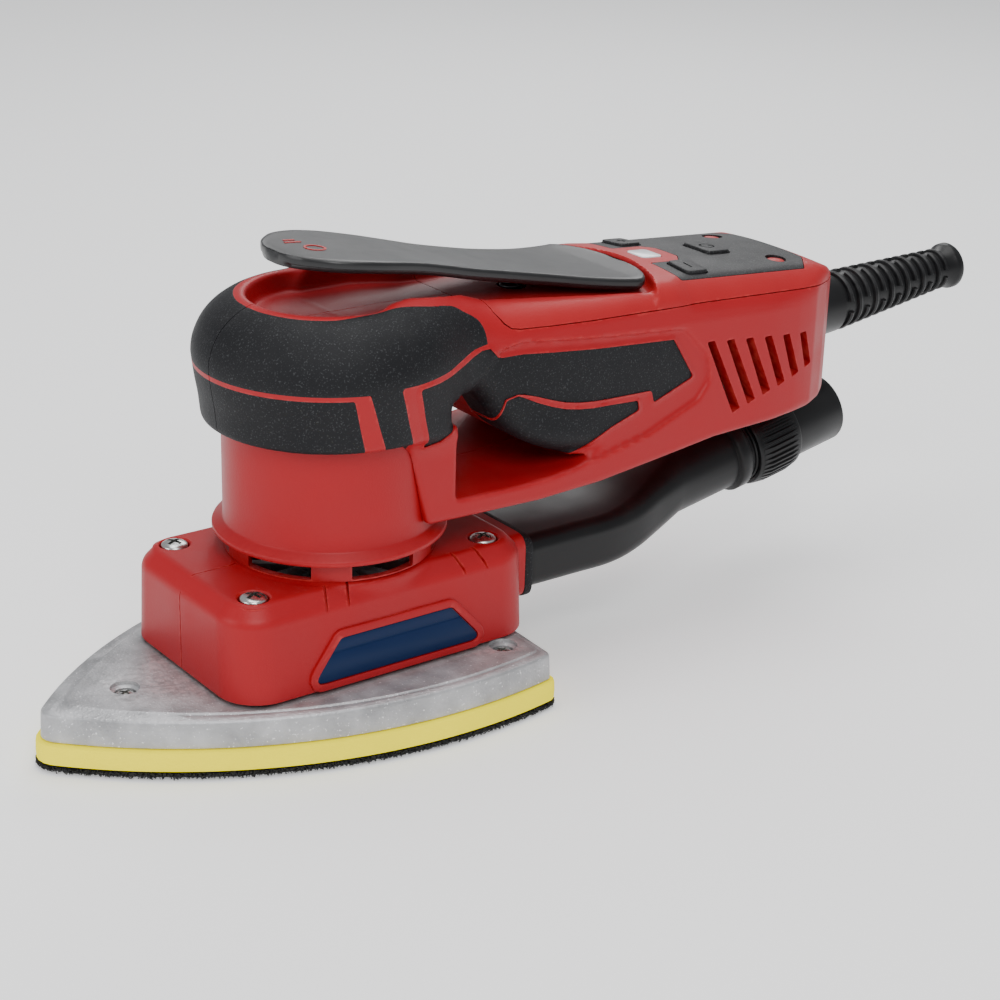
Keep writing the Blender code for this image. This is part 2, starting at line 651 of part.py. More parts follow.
BUTTONS = {"plus_button": (123.2, 16.6, 4.4, 5.4), "minus_button": (123.2, -16.6, 4.4, 5.4),
           "power_button": (145.9, 0.0, 4.9, 6.6)}
LED = (119.2, 0.0, 4.2, 4.6)
RED_DOTS = [(162.5, -15.6), (162.5, 15.6)]
COVER_TOP_HALF_WIDTH = 20.5


def centred(middle_x, middle_y, half_x, half_y):
    return rectangle(middle_x - half_x, middle_y - half_y, middle_x + half_x, middle_y + half_y)


def panel_outline():
    upper = [(128.5, 5.5), (126.0, 9.8), (113.8, 9.8), (113.8, 23.6), (166.0, 23.6), (173.0, 16.5)]
    return [*upper, (175.6, 0.0), *mirrored(upper)]


def build_cover():
    """The tail's upper cover, with the lever's recess, the panel's pocket and the board's room."""
    side_top = [(44.6, 119.2), (60.0, 119.2), (88.0, 117.0), (107.8, 116.4), (108.6, panel_z(108.6)),
                (176.0, panel_z(176.0)), (181.5, 114.8)]
    rear = [(183.6, 111.6), (183.6, seam_z(183.6) + GAP)]
    outline = [(46.8, seam_z(46.8) + GAP + 0.6), *side_top, *rear]
    cover = prism("top_cover", outline, -30.6, 30.6, "XZ")
    shoulder = [(31.0, 100.0), (31.0, 112.5), (29.6, 116.5), (COVER_TOP_HALF_WIDTH, 125.0)]
    section = shoulder + [(-y, z) for y, z in reversed(shoulder)]
    cover = meet(cover, prism("section", rounded(section, 2), 30.0, 200.0, "YZ"))
    cover = meet(cover, prism("plan", tail_plan(0.6), 90.0, 140.0))
    pivot = (116.0, 0.0, PANEL_Z)
    pocket = prism("pocket", offset(panel_outline(), -GAP), PANEL_Z - 1.5, PANEL_Z + 9)
    cutters = [tilt(pocket, PANEL_ANGLE, pivot)]
    for spot in BUTTONS.values():
        room = prism("room", offset(centred(*spot), -0.4), PANEL_Z - 4.0, PANEL_Z + 5)
        cutters.append(tilt(room, PANEL_ANGLE, pivot))
    window = prism("window", offset(centred(*LED), -GAP), PANEL_Z - 1.6, PANEL_Z + 5)
    cutters.append(tilt(window, PANEL_ANGLE, pivot))
    board_room = box("room", (114.0, -22.0, 100.0), (158.0, 22.0, 114.6))
    cutters += [board_room, box("groove", (92.0, -16.2, HINGE[1] - 3.6), (102.0, 16.2, 130.0))]
    cutters.append(cylinder("spring_seat", 4.6, 114.6, 130.0, COARSE, (SPRING_X, 0)))
    dress(cut(cover, *cutters), RED)
    dress(box("control_board", (115.0, -20.0, 108.6), (157.0, 20.0, 110.2)), BOARD)

    holes = [tilt(prism("hole", offset(centred(*spot), -GAP), PANEL_Z - 5, PANEL_Z + 5), PANEL_ANGLE, pivot)
             for spot in BUTTONS.values()]
    holes += [tilt(cylinder("hole", 3.5, PANEL_Z - 5, PANEL_Z + 5, COARSE, spot), PANEL_ANGLE, pivot)
              for spot in RED_DOTS]
    panel = tilt(prism("control_panel", panel_outline(), PANEL_Z - 1.2, PANEL_Z), PANEL_ANGLE, pivot)
    dress(cut(panel, *holes), BLACK)
    for name, spot in BUTTONS.items():
        button = prism(name, rounded(centred(*spot), 1.6), PANEL_Z - 2.8, PANEL_Z + 0.9)
        dress(tilt(button, PANEL_ANGLE, pivot), RUBBER_FINISH)
    dress(tilt(prism("led_window", centred(*LED), PANEL_Z - 1.3, PANEL_Z + 0.2), PANEL_ANGLE, pivot), LENS)


# ---------------------------------------------------------------- lever


HINGE = (97.0, 116.6)
SPRING_X = 66.0
LEVER_THICKNESS = 3.8
LEVER = [(-19.0, 4.0, 142.2), (-17.6, 8.5, 142.2), (-15.0, 12.8, 142.1), (-10.0, 17.4, 141.8),
         (-5.0, 19.7, 141.3), (0.0, 20.7, 140.7), (5.0, 20.9, 139.9), (10.0, 20.4, 139.0),
         (20.0, 18.6, 136.9), (30.0, 17.3, 134.4), (40.0, 16.7, 131.8), (50.0, 16.3, 129.6),
         (60.0, 16.5, 127.5), (70.0, 17.6, 125.6), (80.0, 19.6, 123.8), (90.0, 22.0, 122.4),
         (98.0, 23.9, 121.6), (103.5, 21.0, 121.3), (107.0, 9.0, 121.2)]


def lever_ring(x, half, top):
    """One station across the paddle: x, half width and the height of its upper face."""
    low = top - LEVER_THICKNESS
    edge = min(1.2, half / 3)
    return [(x, -half, low + edge), (x, -half, top - edge), (x, -half + edge, top), (x, half - edge, top),
            (x, half, top - edge), (x, half, low + edge), (x, half - edge, low), (x, -half + edge, low)]


def build_lever():
    paddle = loft("lever", [lever_ring(*station) for station in LEVER])
    lug = prism("lug", [(94.8, 114.8), (99.2, 114.8), (99.6, 119.5), (94.4, 119.5)], -12.0, 12.0, "XZ")
    hole = turned("hole", [(0, 30), (1.8, 30), (1.8, -30), (0, -30)], COARSE)
    dress(cut(join(paddle, lug), place_across(hole, *HINGE)), BLACK)
    pin = turned("lever_pin", [(0, 15.6), (1.5, 15.6), (1.5, -15.6), (0, -15.6)], COARSE)
    dress(place_across(pin, *HINGE), STEEL)
    spring_top = 125.5 - LEVER_THICKNESS - GAP
    dress(tube("lever_spring", 3.8, 2.8, 114.9, spring_top, COARSE, (SPRING_X, 0)), STEEL)
    dress(box("lever_switch", (50.0, -5.0, 101.0), (66.0, 5.0, 110.0)), BLACK)


# ---------------------------------------------------------------- cable boot


BOOT = [(-3.0, 12.4), (0.0, 12.4), (0.2, 10.9), (22.0, 10.6), (34.0, 10.0), (56.0, 8.5), (74.0, 7.2),
        (78.0, 7.2), (80.4, 8.2), (82.4, 8.2), (83.2, 7.4)]
CABLE_HOLE = 3.6


def build_cable_entry():
    """The strain relief, a tapered tube along its own axis, and the clamp inside the tail."""
    profile = [(radius, along) for along, radius in BOOT]
    profile = profile[::-1] + [(CABLE_HOLE, BOOT[0][0]), (CABLE_HOLE, BOOT[-1][0])]
    boot = turned("cable_boot", profile, FINE)
    tilt(boot, math.pi / 2 - BOOT_ANGLE, (0, 0, 0), "Y")
    boot.location = ((BOOT_START[0] - 3.0) * MM, 0, BOOT_START[1] * MM)
    dress(baked(boot), RUBBER_FINISH)
    dress(box("cable_clamp", (160.0, -9.0, 86.0), (168.0, 9.0, 92.0)), BLACK)


def main():
    for obj in list(bpy.data.objects):
        bpy.data.objects.remove(obj)
    bpy.context.scene.collection.children.link(COLLECTION)
    build_pad()
    build_motor()
    build_motor_housing()
    build_shroud()
    build_dust_outlet()
    build_shells()
    build_housing_screws()
    build_head_grips()
    build_side_grips()
    build_cover()
    build_lever()
    build_cable_entry()


main()
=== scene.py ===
"""Orbital sander with a delta pad: the finished look of every piece, built on the fixed frame.

Sizes inside the classes are in millimetres, because the parts are drawn that way, and each mesh is
turned into metres as it is made. Every piece is drawn in the frame's own place, so its object sits
at the origin.
"""

import logging
import math
from collections.abc import Callable, Sequence
from dataclasses import dataclass, field
from enum import Enum
from typing import Any

import bmesh
import bpy
import numpy as np
from mathutils import Matrix, Vector


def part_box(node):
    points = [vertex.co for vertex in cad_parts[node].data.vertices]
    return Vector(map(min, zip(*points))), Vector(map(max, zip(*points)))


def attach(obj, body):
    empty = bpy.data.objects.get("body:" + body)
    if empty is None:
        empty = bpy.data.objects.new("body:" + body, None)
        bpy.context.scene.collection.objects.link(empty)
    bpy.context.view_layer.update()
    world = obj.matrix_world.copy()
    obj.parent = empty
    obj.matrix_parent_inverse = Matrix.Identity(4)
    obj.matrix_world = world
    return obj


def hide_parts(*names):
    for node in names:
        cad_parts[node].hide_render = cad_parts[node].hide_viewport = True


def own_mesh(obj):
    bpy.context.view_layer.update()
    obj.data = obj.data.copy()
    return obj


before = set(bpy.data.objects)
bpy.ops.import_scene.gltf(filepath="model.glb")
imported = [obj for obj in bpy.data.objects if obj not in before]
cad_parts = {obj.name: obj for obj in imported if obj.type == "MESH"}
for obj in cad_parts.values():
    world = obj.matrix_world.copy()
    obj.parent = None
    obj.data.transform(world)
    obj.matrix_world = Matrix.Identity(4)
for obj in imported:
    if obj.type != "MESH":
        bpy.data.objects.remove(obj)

LOG = logging.getLogger("orbital_sander")
MM = 0.001
Array = np.ndarray
Outline = list[tuple[float, float]]
Field = Callable[[Array], Array]
Piece, Mesh = bpy.types.Object, bpy.types.Mesh
Node, Tree, Socket = bpy.types.Node, bpy.types.NodeTree, bpy.types.NodeSocket


# ---- smooth distance fields


def smoothstep(value: Array) -> Array:
    """Returns 0 below 0, 1 above 1, and an even ease between them."""
    t = np.clip(value, 0.0, 1.0)
    return t * t * (3.0 - 2.0 * t)


def round_max(a: Array, b: Array, radius: Array | float) -> Array:
    """Meets two fields, with the edge between them rounded.

    Args:
        a: Distance to the first solid.
        b: Distance to the second solid.
        radius: Radius of the edge, one value or one for each point.

    Returns:
        Distance to what both solids hold.
    """
    corner = np.hypot(np.maximum(a + radius, 0.0), np.maximum(b + radius, 0.0))
    return np.minimum(np.maximum(a, b), -radius) + corner


def smooth_min(a: Array, b: Array, reach: float) -> Array:
    """Joins two fields with a fillet that starts where they differ by reach."""
    share = np.clip(0.5 + 0.5 * (b - a) / reach, 0.0, 1.0)
    return b + (a - b) * share - reach * share * (1.0 - share)


def spline(points: Sequence[tuple[float, ...]], per_span: int, closed: bool = False) -> list[tuple[float, ...]]:
    """Runs a Catmull-Rom curve through points.

    Args:
        points: Points of any dimension.
        per_span: Steps between two points.
        closed: Whether the curve returns to its start.

    Returns:
        The finer points, with the last point repeated only when the curve is open.
    """
    p = np.array(points, float)
    count = len(p)
    spans = count if closed else count - 1
    made = []
    for i in range(spans):
        if closed:
            a, b, c, d = p[i - 1], p[i], p[(i + 1) % count], p[(i + 2) % count]
        else:
            a, b, c, d = p[max(i - 1, 0)], p[i], p[i + 1], p[min(i + 2, count - 1)]
        for step in range(per_span):
            t = step / per_span
            made.append(0.5 * (2 * b + (c - a) * t + (2 * a - 5 * b + 4 * c - d) * t * t
                               + (3 * b - a - 3 * c + d) * t ** 3))
    if not closed:
        made.append(p[-1])
    return [tuple(float(v) for v in q) for q in made]


def rounded(points: Outline, radius: float | Sequence[float], count: int = 5) -> Outline:
    """Rounds each corner of a closed outline.

    Args:
        points: The outline's corners.
        radius: Radius of the corners, one value or one for each.
        count: Steps round each corner.

    Returns:
        The rounded outline.
    """
    made: Outline = []
    for i, corner in enumerate(points):
        here = Vector(corner)
        before = Vector(points[i - 1]) - here
        after = Vector(points[(i + 1) % len(points)]) - here
        reach = radius if isinstance(radius, (int, float)) else radius[i]
        turn = max(before.angle(after), 0.05)
        back = min(reach / math.tan(turn / 2), before.length * 0.48, after.length * 0.48)
        start, end = here + before.normalized() * back, here + after.normalized() * back
        for step in range(count + 1):
            t = step / count
            place = start * (1 - t) ** 2 + here * 2 * t * (1 - t) + end * t * t
            made.append((place.x, place.y))
    return made


def offset(outline: Outline, distance: float) -> Outline:
    """Moves a smooth closed outline inwards along its normals, or outwards when distance is negative."""
    area = sum(a[0] * b[1] - b[0] * a[1] for a, b in zip(outline, outline[1:] + outline[:1]))
    side = math.copysign(1.0, area)
    moved: Outline = []
    for i, point in enumerate(outline):
        along = Vector(outline[(i + 1) % len(outline)]) - Vector(outline[i - 1])
        normal = Vector((-along.y, along.x)).normalized() * side
        moved.append((point[0] + normal.x * distance, point[1] + normal.y * distance))
    return moved


def mirrored(points: Outline) -> Outline:
    """Returns the points in reverse, with their second coordinate's sign changed."""
    return [(u, -v) for u, v in reversed(points)]


class FlatField:
    """Signed distance to a closed outline, kept as a table and read by linear interpolation."""

    def __init__(self, outline: Outline, cell: float = 0.4, margin: float = 14.0) -> None:
        """Fills the table.

        Args:
            outline: The closed outline's points.
            cell: Spacing of the table.
            margin: How far the table reaches past the outline.
        """
        points = np.array(outline, float)
        self.cell = cell
        self.low = points.min(0) - margin
        size = points.max(0) + margin - self.low
        self.counts = np.ceil(size / cell).astype(int) + 1
        u = self.low[0] + cell * np.arange(self.counts[0])
        v = self.low[1] + cell * np.arange(self.counts[1])
        grid_u, grid_v = np.meshgrid(u, v, indexing="ij")
        nearest = np.full(grid_u.shape, 1e9)
        inside = np.zeros(grid_u.shape, bool)
        for (au, av), (bu, bv) in zip(points, np.roll(points, -1, axis=0)):
            du, dv = bu - au, bv - av
            length = max(du * du + dv * dv, 1e-12)
            t = np.clip(((grid_u - au) * du + (grid_v - av) * dv) / length, 0.0, 1.0)
            nearest = np.minimum(nearest, (grid_u - au - t * du) ** 2 + (grid_v - av - t * dv) ** 2)
            if dv != 0.0:
                crosses = (av > grid_v) != (bv > grid_v)
                inside ^= crosses & (grid_u < au + (grid_v - av) / dv * du)
        self.table = np.sqrt(nearest) * np.where(inside, -1.0, 1.0)

    def __call__(self, u: Array, v: Array) -> Array:
        """Returns the signed distance at each (u, v)."""
        fu = np.clip((u - self.low[0]) / self.cell, 0.0, self.counts[0] - 1.001)
        fv = np.clip((v - self.low[1]) / self.cell, 0.0, self.counts[1] - 1.001)
        iu, iv = fu.astype(np.int32), fv.astype(np.int32)
        tu, tv = fu - iu, fv - iv
        flat = self.table.ravel()
        base = iu * self.counts[1] + iv
        near = flat[base] * (1 - tv) + flat[base + 1] * tv
        far = flat[base + self.counts[1]] * (1 - tv) + flat[base + self.counts[1] + 1] * tv
        return near * (1 - tu) + far * tu


CORNERS = [(i, j, k) for i in (0, 1) for j in (0, 1) for k in (0, 1)]


class Skin:
    """A solid given by a distance field, sampled once on a grid and skinned at any level."""

    def __init__(self, solid: Field, low: Sequence[float], high: Sequence[float], cell: float) -> None:
        """Samples the field.

        Args:
            solid: The distance field of an (N, 3) array of points.
            low: Lowest corner of the grid.
            high: Highest corner of the grid.
            cell: Spacing of the grid.
        """
        self.solid = solid
        self.cell = cell
        self.low = np.array(low, float)
        self.counts = np.ceil((np.array(high, float) - self.low) / cell).astype(int) + 1
        axes = [self.low[i] + cell * np.arange(self.counts[i]) for i in range(3)]
        points = np.stack(np.meshgrid(*axes, indexing="ij"), -1).reshape(-1, 3)
        self.values = solid(points).reshape(self.counts)

    def gradient(self, points: Array, step: float = 0.05) -> Array:
        """Returns the field's gradient at each point."""
        made = np.empty_like(points)
        for axis in range(3):
            shift = np.zeros(3)
            shift[axis] = step
            made[:, axis] = (self.solid(points + shift) - self.solid(points - shift)) / (2 * step)
        return made

    def surface(self, name: str, level: float = 0.0) -> Piece:
        """Skins the field at a level with one vertex in each mixed cell, moved onto the surface.

        Args:
            name: Name of the new object.
            level: The distance at which the skin lies.

        Returns:
            A closed mesh object, in metres.
        """
        values = self.values - level
        inside = values < 0.0
        cells = tuple(self.counts - 1)
        held = np.zeros(cells, np.int8)
        for i, j, k in CORNERS:
            held += inside[i:i + cells[0], j:j + cells[1], k:k + cells[2]]
        mixed = (held > 0) & (held < 8)
        index = np.full(cells, -1, np.int64)
        index[mixed] = np.arange(int(mixed.sum()))
        where = np.argwhere(mixed)
        total = np.zeros((len(where), 3))
        hits = np.zeros(len(where))
        for a in CORNERS:
            for axis in range(3):
                if a[axis]:
                    continue
                b = tuple(1 if i == axis else a[i] for i in range(3))
                va = values[tuple((where + a).T)]
                vb = values[tuple((where + b).T)]
                crossed = (va < 0) != (vb < 0)
                share = np.where(crossed, va / np.where(crossed, va - vb, 1.0), 0.0)
                place = np.array(a, float) + np.outer(share, np.eye(3)[axis])
                total += place * crossed[:, None]
                hits += crossed
        points = self.low + (where + total / hits[:, None]) * self.cell
        start = points.copy()
        for _ in range(4):
            slope = self.gradient(points)
            size = np.maximum((slope ** 2).sum(1), 1e-6)
            step = (self.solid(points) - level) / size
            points = points - slope * np.clip(step, -self.cell, self.cell)[:, None]
            points = start + np.clip(points - start, -0.8 * self.cell, 0.8 * self.cell)
        return mesh_object(name, points * MM, self.quads(inside, index))

    def quads(self, inside: Array, index: Array) -> Array:
        """Returns the faces that separate each pair of neighbouring samples of unlike sign."""
        faces = []
        for axis in range(3):
            u, v = (axis + 1) % 3, (axis + 2) % 3
            shape = list(self.counts)
            first = [slice(0, n) for n in shape]
            second = [slice(0, n) for n in shape]
            first[axis] = slice(0, shape[axis] - 1)
            second[axis] = slice(1, shape[axis])
            change = inside[tuple(first)] != inside[tuple(second)]
            at = np.argwhere(change)
            at = at[(at[:, u] > 0) & (at[:, v] > 0) & (at[:, u] < shape[u] - 1) & (at[:, v] < shape[v] - 1)]
            ring = []
            for du, dv in ((-1, -1), (0, -1), (0, 0), (-1, 0)):
                place = at.copy()
                place[:, u] += du
                place[:, v] += dv
                ring.append(index[tuple(place.T)])
            ring = np.stack(ring, 1)
            outward = inside[tuple(at.T)]
            faces.append(np.where(outward[:, None], ring, ring[:, ::-1]))
        return np.concatenate(faces)


# ---- mesh helpers


def mesh_object(name: str, points: Array, faces: Sequence[Sequence[int]] | Array) -> Piece:
    """Makes an object of points in metres and faces."""
    mesh = bpy.data.meshes.new(name)
    mesh.from_pydata(np.asarray(points, float).tolist(), [], np.asarray(faces).tolist()
                     if isinstance(faces, np.ndarray) else list(faces))
    mesh.update()
    return show(name, mesh)


def show(name: str, mesh: Mesh) -> Piece:
    """Links a new object that holds the mesh."""
    made = bpy.data.objects.new(name, mesh)
    bpy.context.scene.collection.objects.link(made)
    return made


def discard(obj: Piece) -> None:
    """Removes an object and its mesh."""
    mesh = obj.data
    bpy.data.objects.remove(obj)
    if mesh.users == 0:
        bpy.data.meshes.remove(mesh)


def bake(obj: Piece) -> Piece:
    """Turns the object's evaluated form into its own plain mesh, with no modifier left."""
    bpy.context.view_layer.update()
    graph = bpy.context.evaluated_depsgraph_get()
    mesh = bpy.data.meshes.new_from_object(obj.evaluated_get(graph))
    mesh.transform(obj.matrix_world)
    obj.modifiers.clear()
    obj.matrix_world = Matrix.Identity(4)
    old, obj.data = obj.data, mesh
    mesh.name = obj.name
    if old.users == 0 and isinstance(old, Mesh):
        bpy.data.meshes.remove(old)
    return obj


def carve(target: Piece, *tools: Piece, how: str = "DIFFERENCE",
          keep: bool = False) -> Piece:
    """Cuts, joins or meets a mesh with each tool.

    Args:
        target: The mesh that is changed.
        tools: The meshes that change it.
        how: Name of the Boolean operation.
        keep: Whether the tools stay for another cut.

    Returns:
        The target.
    """
    for tool in tools:
        for solver in ("MANIFOLD", "EXACT"):
            before = len(target.data.vertices), len(target.data.polygons)
            modifier = target.modifiers.new("Boolean", "BOOLEAN")
            modifier.operation = how
            modifier.solver = solver
            modifier.object = tool
            bake(target)
            if (len(target.data.vertices), len(target.data.polygons)) != before:
                break
        if not keep:
            discard(tool)
    return target


def copy_of(obj: Piece, name: str) -> Piece:
    """Returns a new object with a copy of the mesh."""
    return show(name, obj.data.copy())


def prism(name: str, outline: Outline, low: float, high: float, plane: str = "XY") -> Piece:
    """Extrudes a closed outline between two levels.

    Args:
        name: Name of the new object.
        outline: The outline's points in the plane.
        low: Lower level along the remaining axis.
        high: Upper level along the remaining axis.
        plane: XY, XZ or YZ.

    Returns:
        A closed mesh object.
    """
    order = {"XY": (0, 1, 2), "XZ": (0, 2, 1), "YZ": (1, 2, 0)}[plane]
    rings = []
    for level in (low, high):
        ring = []
        for u, v in outline:
            place = [0.0, 0.0, 0.0]
            place[order[0]], place[order[1]], place[order[2]] = u, v, level
            ring.append(place)
        rings.append(ring)
    return loft(name, rings)


def from_bmesh(name: str, bm: bmesh.types.BMesh) -> Piece:
    """Makes an object of a bmesh, with its normals pointing out."""
    bmesh.ops.recalc_face_normals(bm, faces=bm.faces)
    mesh = bpy.data.meshes.new(name)
    bm.to_mesh(mesh)
    bm.free()
    return show(name, mesh)


def block(name: str, low: Sequence[float], high: Sequence[float]) -> Piece:
    """A cutter's box between two corners."""
    outline = [(low[0], low[1]), (high[0], low[1]), (high[0], high[1]), (low[0], high[1])]
    return prism(name, outline, low[2], high[2])


def loft(name: str, rings: Sequence[Sequence[Sequence[float]]], closed: bool = False,
         tips: Sequence[Sequence[float]] = ()) -> Piece:
    """Skins rings of as many points each.

    Args:
        name: Name of the new object.
        rings: Rings of points in millimetres, in order.
        closed: Whether the last ring joins the first; otherwise both ends are capped.
        tips: A point for each end to close in, in place of a flat cap.

    Returns:
        A closed mesh object.
    """
    bm = bmesh.new()
    rows = [[bm.verts.new(Vector(point) * MM) for point in ring] for ring in rings]
    count = len(rows[0])
    pairs = list(zip(rows, rows[1:])) + ([(rows[-1], rows[0])] if closed else [])
    for lower, upper in pairs:
        for i in range(count):
            j = (i + 1) % count
            bm.faces.new((lower[i], lower[j], upper[j], upper[i]))
    for ring, tip in zip((rows[0], rows[-1]), tips):
        end = bm.verts.new(Vector(tip) * MM)
        for i in range(count):
            bm.faces.new((end, ring[i], ring[(i + 1) % count]))
    if not closed and not tips:
        bm.faces.new(rows[0][::-1])
        bm.faces.new(rows[-1])
    return from_bmesh(name, bm)


def turned(name: str, profile: Outline, steps: int = 96,
           centre: tuple[float, float] = (0.0, 0.0)) -> Piece:
    """Turns a section about a vertical axis.

    Args:
        name: Name of the new object.
        profile: (radius, height) points; a section that starts and ends on the axis is solid, and any
            other is closed back to its first point.
        steps: Segments round the axis.
        centre: The axis's x and y.

    Returns:
        A closed mesh object.
    """
    solid = profile[0][0] == 0.0 and profile[-1][0] == 0.0
    angles = [2 * math.pi * i / steps for i in range(steps)]
    rings = [[(centre[0] + radius * math.cos(angle), centre[1] + radius * math.sin(angle), height)
              for angle in angles] for radius, height in (profile[1:-1] if solid else profile)]
    return loft(name, rings, not solid, [(*centre, profile[i][1]) for i in (0, -1)] if solid else ())


def merged(name: str, objects: Sequence[Piece]) -> Piece:
    """Puts several meshes into one object and removes the originals."""
    bm = bmesh.new()
    for obj in objects:
        bm.from_mesh(obj.data)
        discard(obj)
    mesh = bpy.data.meshes.new(name)
    bm.to_mesh(mesh)
    bm.free()
    return show(name, mesh)


def turn(obj: Piece, angle: float, pivot: Sequence[float], axis: str = "Y") -> Piece:
    """Turns a mesh about a line through the pivot, in millimetres, parallel to a world axis."""
    centre = Vector(pivot) * MM
    matrix = Matrix.Translation(centre) @ Matrix.Rotation(angle, 4, axis) @ Matrix.Translation(-centre)
    obj.data.transform(matrix)
    return obj


def shift(obj: Piece, x: float, y: float, z: float) -> Piece:
    """Moves a mesh by millimetres."""
    obj.data.transform(Matrix.Translation(Vector((x, y, z)) * MM))
    return obj


def across(obj: Piece, x: float, z: float, angle: float = math.pi / 2) -> Piece:
    """Lays an upright piece along Y, through x and z."""
    return shift(turn(obj, angle, (0, 0, 0), "X"), x, 0.0, z)


def backwards(obj: Piece, start: tuple[float, float], angle: float) -> Piece:
    """Lays an upright piece towards the rear, from a start in x and z, raised by an angle."""
    return shift(turn(obj, math.pi / 2 - angle, (0, 0, 0)), start[0], 0.0, start[1])


def places_of(mesh: Mesh) -> Array:
    """Returns the vertices' places in millimetres."""
    places = np.empty(len(mesh.vertices) * 3)
    mesh.vertices.foreach_get("co", places)
    return places.reshape(-1, 3) / MM


def set_places(mesh: Mesh, places: Array) -> None:
    """Moves the vertices to places in millimetres."""
    mesh.vertices.foreach_set("co", (places * MM).ravel())
    mesh.update()


def ends_of(mesh: Mesh) -> Array:
    """Returns the two vertices of each edge."""
    ends = np.empty(len(mesh.edges) * 2, np.int64)
    mesh.edges.foreach_get("vertices", ends)
    return ends.reshape(-1, 2)


def mirror_y(obj: Piece, name: str) -> Piece:
    """Returns the mesh's mirror image across the parting plane, as a new object."""
    mesh = obj.data.copy()
    mesh.transform(Matrix.Scale(-1.0, 4, (0, 1, 0)))
    mesh.flip_normals()
    return show(name, mesh)


def soft_edges(obj: Piece, width: float, segments: int = 2, angle: float = 32.0) -> Piece:
    """Rounds a mesh's hard edges with a small bevel.

    Args:
        obj: The mesh.
        width: Width of the bevel in millimetres.
        segments: Steps across the bevel.
        angle: Edges sharper than this, in degrees, are rounded.

    Returns:
        The same object, with a plain mesh.
    """
    modifier = obj.modifiers.new("Bevel", "BEVEL")
    modifier.width = width * MM
    modifier.segments = segments
    modifier.limit_method = "ANGLE"
    modifier.angle_limit = math.radians(angle)
    modifier.use_clamp_overlap = True
    return bake(obj)


# Vertices whose edges are longer than this, in millimetres, get less edge lightening, which is partly rubbed wear
# and partly painted highlight.
LONGEST_WORN_AND_HIGHLIGHTED = 2.5


def mark_edges(obj: Piece) -> Piece:
    """Stores how sharply the surface folds outwards at each vertex, from 0 to 1, as the attribute edge."""
    mesh = obj.data
    count = len(mesh.polygons)
    normals = np.empty(count * 3)
    mesh.polygons.foreach_get("normal", normals)
    normals = normals.reshape(-1, 3)
    centres = np.empty(count * 3)
    mesh.polygons.foreach_get("center", centres)
    centres = centres.reshape(-1, 3)
    totals = np.empty(count, np.int64)
    mesh.polygons.foreach_get("loop_total", totals)
    loop_edges = np.empty(len(mesh.loops), np.int64)
    mesh.loops.foreach_get("edge_index", loop_edges)
    owner = np.repeat(np.arange(count), totals)
    order = np.argsort(loop_edges, kind="stable")
    edge_of, face_of = loop_edges[order], owner[order]
    pairs = np.flatnonzero(edge_of[1:] == edge_of[:-1])
    first, second = face_of[pairs], face_of[pairs + 1]
    turn_cosine = (normals[first] * normals[second]).sum(1)
    outward = ((centres[second] - centres[first]) * normals[first]).sum(1) < 0
    fold = np.where(outward, np.clip((0.94 - turn_cosine) / 0.6, 0.0, 1.0), 0.0)
    every = ends_of(mesh)
    ends = every[edge_of[pairs]]
    value = np.zeros(len(mesh.vertices), np.float32)
    for side in (0, 1):
        np.maximum.at(value, ends[:, side], fold.astype(np.float32))
    places = places_of(mesh)
    length = np.linalg.norm(places[every[:, 0]] - places[every[:, 1]], axis=1)
    longest = np.full(len(mesh.vertices), 1e-6)
    for side in (0, 1):
        np.maximum.at(longest, every[:, side], length)
    value *= np.clip(LONGEST_WORN_AND_HIGHLIGHTED / longest, 0.0, 1.0) ** 2
    attribute = mesh.attributes.new("edge", "FLOAT", "POINT")
    attribute.data.foreach_set("value", value)
    return obj


# ---- finishes


class Graph:
    """A node tree with short calls for adding and joining nodes."""

    def __init__(self, tree: Tree) -> None:
        """Keeps the tree."""
        self.tree = tree

    def add(self, kind: str, **settings: Any) -> Node:
        """Adds a node of a kind and gives it settings by name."""
        node = self.tree.nodes.new(kind)
        for name, value in settings.items():
            setattr(node, name, value)
        return node

    def put(self, value: Any, socket: Socket) -> None:
        """Joins an output to a socket, or sets the socket's own value."""
        if isinstance(value, Socket):
            self.tree.links.new(value, socket)
        else:
            socket.default_value = value

    def math(self, how: str, a: Any, b: Any = 0.0, clamp: bool = False) -> Socket:
        """Adds a Math node and returns its result."""
        node = self.add("ShaderNodeMath", operation=how, use_clamp=clamp)
        self.put(a, node.inputs[0])
        self.put(b, node.inputs[1])
        return node.outputs[0]

    def noise(self, vector: Any, scale: Any, detail: float = 2.0) -> Socket:
        """Adds a Noise node and returns its factor."""
        node = self.add("ShaderNodeTexNoise")
        self.put(vector, node.inputs["Vector"])
        self.put(scale, node.inputs["Scale"])
        node.inputs["Detail"].default_value = detail
        return node.outputs["Fac"]

    def remap(self, value: Any, low: Any, high: Any, to_low: Any = 0.0, to_high: Any = 1.0) -> Socket:
        """Adds a clamped Map Range node and returns its result."""
        node = self.add("ShaderNodeMapRange")
        for item, socket in zip((value, low, high, to_low, to_high), node.inputs):
            self.put(item, socket)
        return node.outputs[0]

    def blend(self, share: Any, a: Any, b: Any, how: str = "MIX") -> Socket:
        """Adds a colour Mix node and returns its result."""
        node = self.add("ShaderNodeMix", data_type="RGBA", blend_type=how)
        self.put(share, node.inputs["Factor"])
        self.put(a, node.inputs[6])
        self.put(b, node.inputs[7])
        return node.outputs[2]


